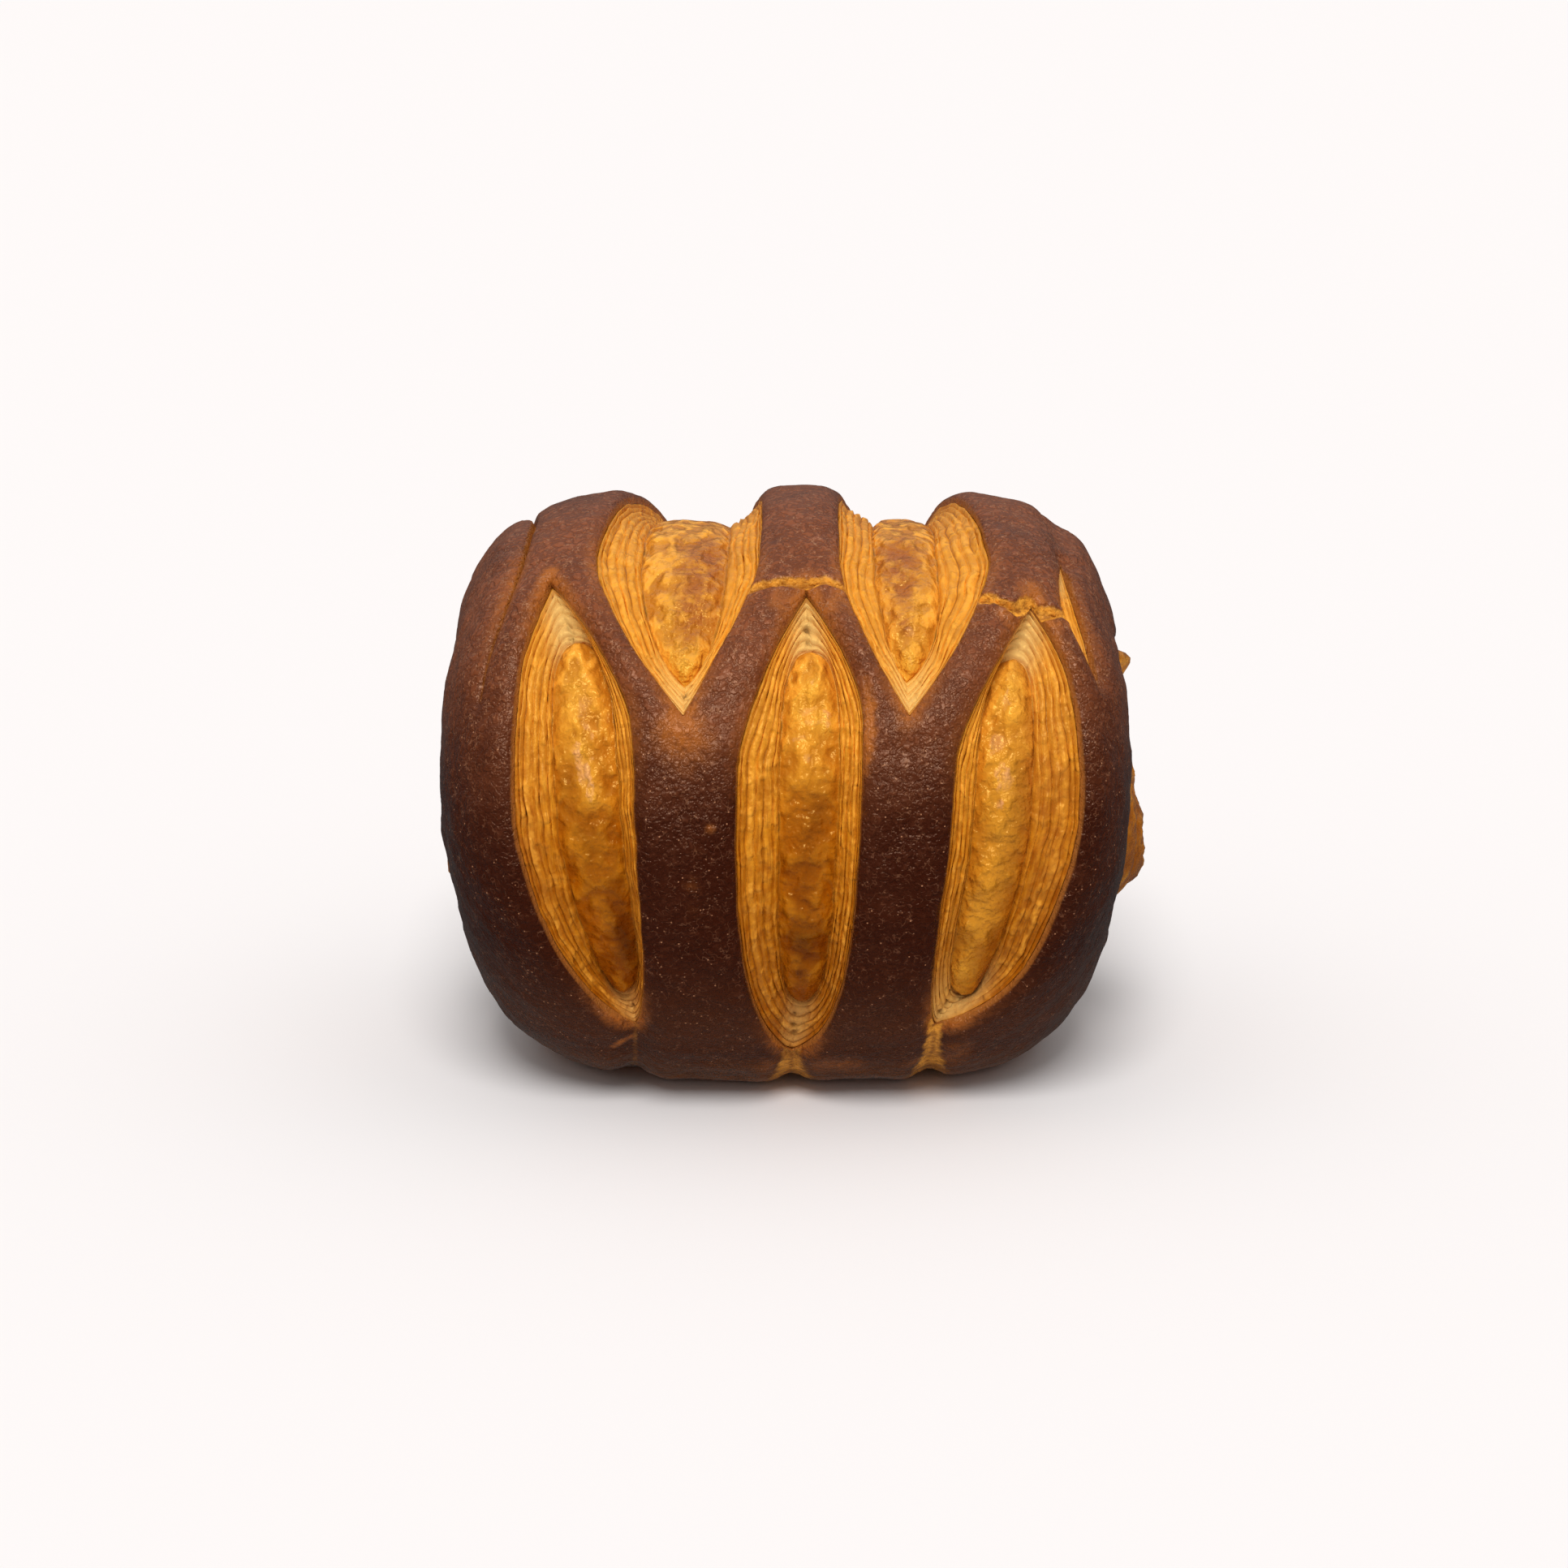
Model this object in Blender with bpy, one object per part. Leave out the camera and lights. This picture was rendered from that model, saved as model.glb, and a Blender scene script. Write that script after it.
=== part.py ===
"""Pain au chocolat of two doughs: a roll of plain laminated dough inside a scored sheet of cocoa dough.

The roll lies along X with its front towards -Y and rests on the plane z = 0. Every point of it is
given in skin coordinates: along, the distance over the skin from the middle towards an end (negative to
the left); around, the angle round the roll (0 at the front, 90 on top, 180 at the back); and depth under
the skin. The slits of the cocoa sheet opened in the oven into pointed eyes. Inside each one the cut
edges of the plain dough go down in terraces to a floor that swells up again. Metres and degrees
throughout.
"""

from collections import Counter, namedtuple

import bmesh
import bpy
import numpy as np
from mathutils.geometry import delaunay_2d_cdt
from mathutils.kdtree import KDTree

MM = 0.001

# The roll.
LEFT_REACH = 47.9 * MM
RIGHT_REACH = 45.6 * MM
HALF_DEPTH = 43.0 * MM
HALF_HEIGHT = 41.2 * MM
AXIS_HEIGHT = 36.7 * MM
SQUARENESS = 4.95
BOTTOM_TAPER = 0.15
TOP_TAPER = 0.069
FOOT_TAPER = 0.05
# The sines of the angles round the roll between which the foot and the top taper set in.
FOOT_RISE = 0.21, -0.76
TOP_RISE = 0.63, 1.0
FLOOR_EASE = 1.5 * MM

# The two doughs.
SHEET = 2.0 * MM
CLEARANCE = 0.3 * MM
EDGE_DROP = 1.3 * MM
EDGE_ROUND = 3.0 * MM
THINNEST = 0.6 * MM
SLIT_FOOT = 5.5 * MM
SHALLOW_FOOT = 2.8 * MM
FLOOR_CROWN = 1.6 * MM
CROWN_WIDTH = 5.0 * MM
TERRACES = 3
RISER_SHARE = 0.22
TREAD_SLOPE = 0.25

# The ends, where the sheet stops and the rolled plain dough swells out.
RIM = 60.0 * MM
LEFT_NOTCH = 2.0 * MM
RIGHT_NOTCH = 6.0 * MM
NOTCH_ANGLE = 58.0
NOTCH_SPREAD = 24.0
ROLL_PITCH = 7.5 * MM
ROLL_GROOVE = 1.3 * MM
GROOVE_SPREAD = 1.6 * MM
ROLL_HEART = 3.0 * MM
LEFT_SWELL = 1.6 * MM
RIGHT_SWELL = 4.2 * MM
SWELL_SPREAD = 15.0 * MM
SWELL_DROP = 10.0 * MM
SWELL_START = 0.35

# The finish of the two crusts.
COCOA_BROWN = 0.060, 0.024, 0.018
COCOA_ROUGHNESS = 0.45
GOLDEN_BROWN = 0.60, 0.27, 0.045
GOLDEN_ROUGHNESS = 0.4

# How finely the solids are faceted.
SIDE_STEPS = 15
SHEET_GRID = 5.5 * MM
GRID_GAP = 3.4 * MM
EDGE_RING = 1.7 * MM
RING_GAP = 1.1 * MM
CREASE_FLANK = 1.4
EDGE_SAMPLES = 180
RIM_SAMPLES = 720
MERIDIAN_STEPS = 4000
SMOOTH_UP_TO = 40.0
RIM_STEPS = 40
END_RINGS = 9
FLOOR_RINGS = 2

# One side of an eye: how far it bows out, the angle where it bows most, and how full it is below and
# above that angle.
Side = namedtuple("Side", "bow peak low_fullness high_fullness")
# A pointed outline: its two tips, as (along, around), and its two sides.
Eye = namedtuple("Eye", "low high left right")
# A slit: the outline cut in the sheet, the outline of the floor inside it and how deep the floor lies.
Slit = namedtuple("Slit", "opening floor foot")


def side(bow, peak, low_fullness=1.5, high_fullness=1.5):
    return Side(bow * MM, peak, low_fullness, high_fullness)


def tip(along, around):
    return along * MM, around


FRONT_ROW = [
    Slit(
        Eye(tip(-24.2, -38), tip(-33.6, 61), side(8.0, 1, 3.5, 1.8), side(9.7, 30, 1.6, 1.5)),
        Eye(tip(-26.5, -34), tip(-29.8, 49), side(3.4, 6, 4.0, 3.6), side(5.9, 18, 2.2, 3.6)),
        SLIT_FOOT,
    ),
    Slit(
        Eye(tip(-0.4, -47), tip(1.7, 56), side(8.2, 20, 2.7, 1.5), side(8.1, 29, 4.5, 1.5)),
        Eye(tip(1.0, -36), tip(2.1, 46), side(3.6, 22, 4.5, 3.0), side(4.3, 14, 4.5, 3.6)),
        SLIT_FOOT,
    ),
    Slit(
        Eye(tip(22.5, -38), tip(33.8, 55), side(8.0, 23, 1.5, 1.5), side(12.1, -6, 4.5, 2.5)),
        Eye(tip(27.5, -36), tip(31.2, 45), side(5.2, 19, 2.4, 3.6), side(4.0, -12, 2.9, 4.5)),
        SLIT_FOOT,
    ),
]
TOP_ROW = [
    Slit(
        Eye(tip(-42.0, 35), tip(-41.5, 145), side(-3.4, 90), side(4.4, 90)),
        Eye(tip(-41.2, 46), tip(-40.8, 134), side(-2.8, 90), side(3.2, 90)),
        SHALLOW_FOOT,
    ),
    Slit(
        Eye(tip(-14.1, 30), tip(-12.5, 150), side(14.1, 68), side(8.9, 66, 1.5, 3.4)),
        Eye(tip(-14.0, 38), tip(-12.8, 142), side(8.0, 73, 1.9, 3.0), side(4.2, 74, 4.0, 3.6)),
        SLIT_FOOT,
    ),
    Slit(
        Eye(tip(15.4, 30), tip(14.5, 150), side(8.5, 64, 1.7, 3.2), side(13.5, 68)),
        Eye(tip(15.1, 39), tip(14.6, 142), side(3.1, 75, 3.3, 2.8), side(6.5, 85, 4.0, 2.4)),
        SLIT_FOOT,
    ),
    Slit(
        Eye(tip(43.4, 39), tip(40.8, 74), side(2.4, 56), side(0.4, 56)),
        Eye(tip(42.7, 44), tip(41.0, 69), side(1.4, 56), side(-0.4, 56)),
        SHALLOW_FOOT,
    ),
]


def mirrored(eye, shift):
    """The outline on the other side of the top of the roll, moved along it."""
    low, high = [(along + shift, 180 - around) for along, around in (eye.high, eye.low)]
    left, right = [
        Side(edge.bow, 180 - edge.peak, edge.high_fullness, edge.low_fullness)
        for edge in (eye.left, eye.right)
    ]
    return Eye(low, high, left, right)


BACK_SHIFT = -0.8 * MM
BACK_ROW = [
    Slit(mirrored(slit.opening, BACK_SHIFT), mirrored(slit.floor, BACK_SHIFT), slit.foot)
    for slit in FRONT_ROW
]
SLITS = FRONT_ROW + TOP_ROW + BACK_ROW

# A crease: a valley in the sheet along (along, around) points, with its depth and spread. Those at the
# foot run on from the tips of the slits, and the cracks cross the strips between the slits.
Crease = namedtuple("Crease", "route depth spread")
FOOT_DEPTH, FOOT_SPREAD = 1.3 * MM, 2.6 * MM
CRACK_DEPTH, CRACK_SPREAD = 0.9 * MM, 1.0 * MM
FOOT_ROUTES = [
    [tip(-24.2, -38), tip(-25.4, -66)],
    [tip(-0.4, -47), tip(-0.6, -66)],
    [tip(22.5, -38), tip(22.0, -66)],
]
CRACK_ROUTES = [
    [tip(-5.3, 56), tip(-2.0, 58), tip(1.6, 56.5), tip(5.0, 58), tip(7.5, 56)],
    [tip(26.7, 54), tip(29.8, 55.5), tip(33.8, 54), tip(39.8, 54.5)],
]
BACK_ROUTES = [
    [(along + BACK_SHIFT, 180 - around) for along, around in route] for route in FOOT_ROUTES
]
CREASES = [Crease(route, FOOT_DEPTH, FOOT_SPREAD) for route in FOOT_ROUTES + BACK_ROUTES]
CREASES += [Crease(route, CRACK_DEPTH, CRACK_SPREAD) for route in CRACK_ROUTES]
CREASES += [Crease([tip(40.8, 74), tip(39.4, 108)], 0.9 * MM, 2.2 * MM)]

# The angle where the unrolled sheet is cut open to be meshed, under the roll.
SEAM = -90.0
DEGREE = np.pi / 180 * (HALF_DEPTH + HALF_HEIGHT) / 2


def ramp(low, high, value):
    """0 at low, 1 at high, level beyond them and smooth in between; low may be the larger."""
    t = np.clip((value - low) / (high - low), 0, 1)
    return t * t * (3 - 2 * t)


def meridian():
    """The line over the skin from the middle to an end, as a table.

    Its columns are the length so far, the shares of the reach and of the radius there, and the outward
    normal's parts along the roll and across it.
    """
    turn = np.linspace(0, np.pi / 2, MERIDIAN_STEPS + 1)
    reach, radius = (LEFT_REACH + RIGHT_REACH) / 2, (HALF_DEPTH + HALF_HEIGHT) / 2
    out = np.sin(turn) ** (2 / SQUARENESS)
    up = np.cos(turn) ** (2 / SQUARENESS)
    steps = np.hypot(np.diff(out) * reach, np.diff(up) * radius)
    lengths = np.concatenate([[0], np.cumsum(steps)])
    normal = np.stack([out ** (SQUARENESS - 1) / reach, up ** (SQUARENESS - 1) / radius])
    return (lengths, out, up, *(normal / np.linalg.norm(normal, axis=0)))


MERIDIAN = meridian()
POLE = MERIDIAN[0][-1]


def skin(along, around, depth):
    """The point at each skin coordinate, flattened where the roll rests on z = 0."""
    out, up, lean_out, lean_up = [np.interp(np.abs(along), MERIDIAN[0], row) for row in MERIDIAN[1:]]
    rise, front = np.sin(np.radians(around)), np.cos(np.radians(around))
    foot = ramp(*FOOT_RISE, rise)
    taper = BOTTOM_TAPER * foot + TOP_TAPER * ramp(*TOP_RISE, rise)
    radius_share = up * (1 - FOOT_TAPER * out**2 * foot)
    reach = np.where(along < 0, LEFT_REACH, RIGHT_REACH)
    x = np.sign(along) * (reach * out * (1 - taper * up**2) - depth * lean_out)
    y = -(HALF_DEPTH * radius_share - depth * lean_up) * front
    z = (HALF_HEIGHT * radius_share - depth * lean_up) * rise + AXIS_HEIGHT - depth
    eased = (z + FLOOR_EASE) ** 2 / (4 * FLOOR_EASE)
    z = np.where(z > FLOOR_EASE, z, np.where(z < -FLOOR_EASE, 0, eased)) + depth
    return np.stack([x, y, z], -1)


def bowed(edge, low, high, around):
    """How far a side stands out, at each angle, from the line between its tips at low and high."""
    below = around < edge.peak
    reach = np.where(below, low, high) - edge.peak
    fullness = np.where(below, edge.low_fullness, edge.high_fullness)
    return edge.bow * (1 - np.abs((around - edge.peak) / reach) ** fullness)


def eye_sides(eye, shares):
    """The along of the left side and of the right side, and the around, at shares of the way up."""
    (low_along, low), (high_along, high) = eye.low, eye.high
    middle = low_along + (high_along - low_along) * shares
    around = low + (high - low) * shares
    left = middle - bowed(eye.left, low, high, around)
    right = middle + bowed(eye.right, low, high, around)
    return left, right, around


def side_shares(steps):
    """Shares of the way from tip to tip, closer together near the tips."""
    return (1 - np.cos(np.linspace(0, np.pi, steps + 1))) / 2


def eye_loop(eye, steps):
    """The outline as a loop of points: up the left side and back down the right."""
    left, right, around = eye_sides(eye, side_shares(steps))
    up = np.stack([left, around], -1)
    down = np.stack([right, around], -1)[::-1]
    return np.concatenate([up, down[1:-1]])


def there_and_back(row):
    """A row from tip to tip as a loop that goes up it and back down, to match an outline's loop."""
    return np.concatenate([row, row[::-1][1:-1]])


def inside_eye(eye, points):
    """Which (along, around) points lie inside the outline."""
    share = (points[:, 1] - eye.low[1]) / (eye.high[1] - eye.low[1])
    left, right, _ = eye_sides(eye, np.clip(share, 0, 1))
    within = (share > 0) & (share < 1)
    return within & (points[:, 0] > left) & (points[:, 0] < right)


def rim(around, end):
    """How far along the sheet reaches at an angle; end is -1 on the left and 1 on the right."""
    turn = (around - NOTCH_ANGLE + 180) % 360 - 180
    notch = RIGHT_NOTCH if end > 0 else LEFT_NOTCH
    return RIM - notch * np.exp(-((turn / NOTCH_SPREAD) ** 2))


def inside_rims(points):
    """How far along each point lies from the sheet's nearer rim; negative beyond it."""
    reach = np.where(points[:, 0] < 0, rim(points[:, 1], -1), rim(points[:, 1], 1))
    return reach - np.abs(points[:, 0])


def flat(points):
    """Skin coordinates as lengths on the unrolled sheet."""
    return points * [1, DEGREE]


def tree_of(points):
    tree = KDTree(len(points))
    for index, (x, y) in enumerate(points):
        tree.insert((x, y, 0), index)
    tree.balance()
    return tree


def nearest(tree, points):
    return np.array([tree.find((x, y, 0))[2] for x, y in points])


def dense_edges():
    """Closely spaced points along every edge of the sheet, unrolled."""
    loops = [eye_loop(slit.opening, EDGE_SAMPLES) for slit in SLITS]
    around = np.linspace(SEAM, SEAM + 360, RIM_SAMPLES + 1)
    loops += [np.stack([end * rim(around, end), around], -1) for end in (-1, 1)]
    return tree_of(flat(np.concatenate(loops)))


def distance_to_route(points, route):
    """How far each point of the unrolled sheet lies from a line through the route's points."""
    here, corners = flat(points), flat(np.array(route))
    distances = []
    for start, stop in zip(corners, corners[1:]):
        way = stop - start
        share = np.clip(((here - start) @ way) / (way @ way), 0, 1)
        distances.append(np.linalg.norm(here - start - share[:, None] * way, axis=1))
    return np.min(distances, axis=0)


def crease_depth(points):
    """How deep the creases dip at each point."""
    depths = [
        crease.depth * np.exp(-((distance_to_route(points, crease.route) / crease.spread) ** 2))
        for crease in CREASES
    ]
    return np.max(depths, axis=0)


def skin_depth(points, edge_tree):
    """How far the sheet's outer face lies under the skin: more at its edges and in the creases."""
    near = np.clip(nearest(edge_tree, flat(points)) / EDGE_ROUND, 0, 1)
    rounded = EDGE_DROP * (1 - np.sqrt(1 - (1 - near) ** 2))
    return np.minimum(rounded + crease_depth(points), SHEET - THINNEST)


def offset_ring(loop, distance):
    """The loop moved outwards over the unrolled sheet."""
    here = flat(loop)
    way = np.roll(here, -1, axis=0) - np.roll(here, 1, axis=0)
    outwards = np.stack([-way[:, 1], way[:, 0]], -1) / np.linalg.norm(way, axis=1)[:, None]
    return (here + outwards * distance) / [1, DEGREE]


def spaced(points, others, distance):
    """The points that keep a distance on the unrolled sheet from all the others."""
    return points[nearest(tree_of(flat(others)), flat(points)) > distance]


def thinned(points, distance):
    """The points less those that come too close to an earlier one."""
    here = flat(points)
    kept = []
    for index, place_here in enumerate(here):
        if not kept or np.min(np.linalg.norm(here[kept] - place_here, axis=1)) > distance:
            kept.append(index)
    return points[kept]


def crease_points():
    """Points along the bottom of each crease and on its two flanks."""
    rows = []
    for crease in CREASES:
        corners = flat(np.array(crease.route))
        for start, stop in zip(corners, corners[1:]):
            way = stop - start
            length = np.linalg.norm(way)
            aside = np.array([-way[1], way[0]]) / length * crease.spread
            shares = np.arange(0.5, length / EDGE_RING) * EDGE_RING / length
            line = start + shares[:, None] * way
            rows += [line, line + CREASE_FLANK * aside, line - CREASE_FLANK * aside]
    return np.concatenate(rows) / [1, DEGREE]


def sheet_grid():
    """A staggered grid of points over the whole unrolled sheet."""
    rows = int(360 * DEGREE / SHEET_GRID)
    lines = []
    for row in range(1, rows):
        around = SEAM + 360 * row / rows
        shift = SHEET_GRID / 2 * (row % 2)
        along = np.arange(-RIM + shift, RIM, SHEET_GRID)
        lines.append(np.stack([along, np.full_like(along, around)], -1))
    return np.concatenate(lines)


def rim_angles():
    return SEAM + 360 * np.arange(RIM_STEPS) / RIM_STEPS


def sheet_outline():
    """The unrolled sheet's border in four rows: the seam, the right rim, the seam, the left rim."""
    first, last = -rim(SEAM, -1), rim(SEAM, 1)
    seam = np.linspace(first, last, int((last - first) / SHEET_GRID) + 1)
    angles = rim_angles()[1:]
    bottom = np.stack([seam, np.full_like(seam, SEAM)], -1)
    right = np.stack([rim(angles, 1), angles], -1)
    left = np.stack([-rim(angles, -1), angles], -1)
    return bottom, right, bottom + [0, 360], left


def unrolled_sheet(edge_tree):
    """Points and triangles of the sheet with its slits cut out, and each slit's loop of point numbers.

    The two sides of the seam are one row of points, so that the sheet closes round the roll.
    """
    loops = [eye_loop(slit.opening, SIDE_STEPS) for slit in SLITS]
    bottom, right, top, left = sheet_outline()
    border = np.concatenate([bottom, right, top[::-1], left[::-1]])
    fixed = np.concatenate([*loops, border])
    rings = np.concatenate([crease_points(), *[offset_ring(loop, EDGE_RING) for loop in loops]])
    rings = thinned(rings[nearest(edge_tree, flat(rings)) > RING_GAP], RING_GAP)
    taken = np.concatenate([fixed, rings])
    free = spaced(sheet_grid(), taken, GRID_GAP)
    free = free[nearest(edge_tree, flat(free)) > EDGE_RING]
    points = np.concatenate([taken, free])

    kept = ~np.any([inside_eye(slit.opening, points) for slit in SLITS], axis=0)
    kept[: len(fixed)] = True
    kept[len(fixed) :] &= (inside_rims(points) - EDGE_RING > 0)[len(fixed) :]
    points = points[kept]

    edges, start = [], 0
    slit_loops = []
    for loop in [*loops, border]:
        numbers = list(range(start, start + len(loop)))
        edges += list(zip(numbers, numbers[1:] + numbers[:1]))
        slit_loops.append(numbers)
        start += len(loop)
    border_numbers = slit_loops.pop()

    found = delaunay_2d_cdt([tuple(p) for p in flat(points)], edges, [], 0, 1e-7)
    origin = [came[0] for came in found[3]]
    triangles = np.array([[origin[v] for v in face] for face in found[2]])
    centres = points[triangles].mean(axis=1)
    outside = np.any([inside_eye(slit.opening, centres) for slit in SLITS], axis=0)
    triangles = triangles[~outside & (inside_rims(centres) > 0)]

    seam_length = len(bottom)
    first_top = start - len(border) + seam_length + len(right)
    for step in range(seam_length):
        triangles[triangles == first_top + seam_length - 1 - step] = border_numbers[step]
    left_rim = [border_numbers[0]] + border_numbers[-len(left) :][::-1]
    right_rim = border_numbers[seam_length - 1 : seam_length + len(right)]
    return points, triangles, slit_loops, left_rim, right_rim


def border_edges(triangles):
    """The directed edges that only one triangle has."""
    edges = [(int(t[i]), int(t[(i + 1) % 3])) for t in triangles for i in range(3)]
    count = Counter(frozenset(edge) for edge in edges)
    return [edge for edge in edges if count[frozenset(edge)] == 1]


def wall_depth(share, foot):
    """Depth down the terraced wall of a slit, at a share of the way from its edge to the floor."""
    top = SHEET + CLEARANCE
    step = share * TERRACES
    tread = np.floor(step)
    stepped = tread + ramp(1 - RISER_SHARE, 1, step - tread)
    return top + (foot - top) * ((1 - TREAD_SLOPE) * stepped + TREAD_SLOPE * step) / TERRACES


def wall_shares():
    """Where the rings of the wall lie: at each edge and foot of the terraces."""
    shares = []
    for terrace in range(TERRACES):
        shares += [(terrace + 1 - RISER_SHARE) / TERRACES, (terrace + 1) / TERRACES]
    return shares


def end_depth(along, around, end):
    """Depth under the skin of the rolled dough at an end, swollen and grooved between its turns."""
    length = POLE - np.abs(along)
    across = length * np.cos(np.radians(around))
    up = length * np.sin(np.radians(around)) + SWELL_DROP
    distance = np.hypot(across, up)
    swell = (RIGHT_SWELL if end > 0 else LEFT_SWELL) * np.exp(-((distance / SWELL_SPREAD) ** 2))
    turns = distance / ROLL_PITCH - np.arctan2(up, across) / (2 * np.pi)
    off_groove = np.abs(turns - np.round(turns)) * ROLL_PITCH
    groove = ROLL_GROOVE * np.exp(-((off_groove / GROOVE_SPREAD) ** 2)) * ramp(0, ROLL_HEART, distance)
    sheet_end = rim(around, end)
    rise = ramp(0, SWELL_START, (np.abs(along) - sheet_end) / (POLE - sheet_end))
    return (SHEET + CLEARANCE) * (1 - rise) + (SHEET / 2 + groove - swell) * rise


class Solid:
    """A closed mesh in the making: its corners and its triangles, as corner numbers."""

    def __init__(self):
        self.corners = []
        self.faces = []

    def add(self, corners):
        first = len(self.corners)
        self.corners += [tuple(map(float, corner)) for corner in corners]
        return list(range(first, len(self.corners)))

    def band(self, lower, upper):
        """Two triangles for each step between two loops of the same length."""
        for i in range(len(lower)):
            j = (i + 1) % len(lower)
            halves = (lower[i], lower[j], upper[j]), (lower[i], upper[j], upper[i])
            self.faces += [half for half in halves if len(set(half)) == 3]

    def build(self, name, colour, roughness):
        mesh = bpy.data.meshes.new(name)
        mesh.from_pydata(self.corners, [], self.faces)
        mesh.validate()
        shaper = bmesh.new()
        shaper.from_mesh(mesh)
        loose = [corner for corner in shaper.verts if not corner.link_faces]
        bmesh.ops.delete(shaper, geom=loose, context="VERTS")
        bmesh.ops.recalc_face_normals(shaper, faces=shaper.faces)
        shaper.to_mesh(mesh)
        shaper.free()
        mesh.shade_smooth()
        mesh.set_sharp_from_angle(angle=np.radians(SMOOTH_UP_TO))
        mesh.materials.append(dough_material(name, colour, roughness))
        made = bpy.data.objects.new(name, mesh)
        bpy.context.scene.collection.objects.link(made)
        return made


def dough_material(name, colour, roughness):
    material = bpy.data.materials.new(name)
    material.use_nodes = True
    surface = material.node_tree.nodes["Principled BSDF"]
    surface.inputs["Base Color"].default_value = (*colour, 1)
    surface.inputs["Roughness"].default_value = roughness
    surface.inputs["Metallic"].default_value = 0.0
    return material


def place(points, depth):
    return skin(points[:, 0], points[:, 1], depth)


def cocoa_sheet(points, triangles, edge_tree):
    """The scored outer sheet: an outer face, an inner face and the walls of its slits and rims."""
    solid = Solid()
    outer = solid.add(place(points, skin_depth(points, edge_tree)))
    inner = solid.add(place(points, SHEET))
    for a, b, c in triangles.tolist():
        solid.faces.append((outer[a], outer[b], outer[c]))
        solid.faces.append((inner[a], inner[c], inner[b]))
    for a, b in border_edges(triangles):
        solid.faces.append((outer[b], outer[a], inner[a]))
        solid.faces.append((outer[b], inner[a], inner[b]))
    return solid


def floor_crown(width):
    """How far the floor of a slit swells up in its middle, less where it is narrow."""
    return FLOOR_CROWN * ramp(0, CROWN_WIDTH, width)


def slit_cup(solid, slit, loop):
    """The terraced wall and swelling floor of plain dough inside one slit, grown from its loop."""
    opening, floor = eye_loop(slit.opening, SIDE_STEPS), eye_loop(slit.floor, SIDE_STEPS)
    previous = loop
    for share in wall_shares():
        ring = solid.add(place(opening + share * (floor - opening), wall_depth(share, slit.foot)))
        solid.band(previous, ring)
        previous = ring
    left, right, around = eye_sides(slit.floor, side_shares(SIDE_STEPS))
    spine = there_and_back(np.stack([(left + right) / 2, around], -1))
    crown = there_and_back(floor_crown(right - left))
    for ring_number in range(1, FLOOR_RINGS):
        share = ring_number / FLOOR_RINGS
        swell = crown * (1 - (1 - share) ** 2)
        ring = solid.add(place(floor + share * (spine - floor), slit.foot - swell))
        solid.band(previous, ring)
        previous = ring
    middle = solid.add(place(spine, slit.foot - crown)[: SIDE_STEPS + 1])
    solid.band(previous, there_and_back(middle))


def end_cap(solid, rim_loop, end):
    """The rolled end of the plain dough, from the sheet's rim to the pole."""
    angles = rim_angles()
    edge = rim(angles, end)
    previous = rim_loop
    for ring_number in range(1, END_RINGS):
        along = end * (edge + (POLE - edge) * ring_number / END_RINGS)
        ring = solid.add(skin(along, angles, end_depth(along, angles, end)))
        solid.band(previous, ring)
        previous = ring
    along = np.array([end * POLE])
    pole = solid.add(skin(along, np.array([0.0]), end_depth(along, np.array([0.0]), end)))
    solid.band(previous, pole * len(previous))


def plain_dough(points, triangles, slit_loops, left_rim, right_rim):
    """The roll of plain laminated dough: under the sheet, in its slits and at its two ends."""
    solid = Solid()
    under = solid.add(place(points, SHEET + CLEARANCE))
    for a, b, c in triangles.tolist():
        solid.faces.append((under[a], under[b], under[c]))
    for slit, loop in zip(SLITS, slit_loops):
        slit_cup(solid, slit, [under[number] for number in loop])
    end_cap(solid, [under[number] for number in left_rim], -1)
    end_cap(solid, [under[number] for number in right_rim], 1)
    return solid


def centred(solids):
    """Moves the solids together so that the middle of the bottom of their box is the origin."""
    corners = np.array([corner for solid in solids for corner in solid.corners])
    low, high = corners.min(axis=0), corners.max(axis=0)
    middle = np.array([(low[0] + high[0]) / 2, (low[1] + high[1]) / 2, low[2]])
    for solid in solids:
        solid.corners = [tuple(corner - middle) for corner in np.array(solid.corners)]


def main():
    for old in list(bpy.data.objects):
        bpy.data.objects.remove(old)
    edge_tree = dense_edges()
    points, triangles, slit_loops, left_rim, right_rim = unrolled_sheet(edge_tree)
    sheet = cocoa_sheet(points, triangles, edge_tree)
    dough = plain_dough(points, triangles, slit_loops, left_rim, right_rim)
    centred([sheet, dough])
    sheet.build("cocoa_sheet", COCOA_BROWN, COCOA_ROUGHNESS)
    dough.build("plain_dough", GOLDEN_BROWN, GOLDEN_ROUGHNESS)


main()
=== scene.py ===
import itertools
from collections import namedtuple
from functools import partialmethod

import bmesh
import bpy
import numpy as np
from bpy.props import FloatProperty, FloatVectorProperty, IntProperty, PointerProperty
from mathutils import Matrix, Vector
from mathutils.geometry import delaunay_2d_cdt
from mathutils.kdtree import KDTree


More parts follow.
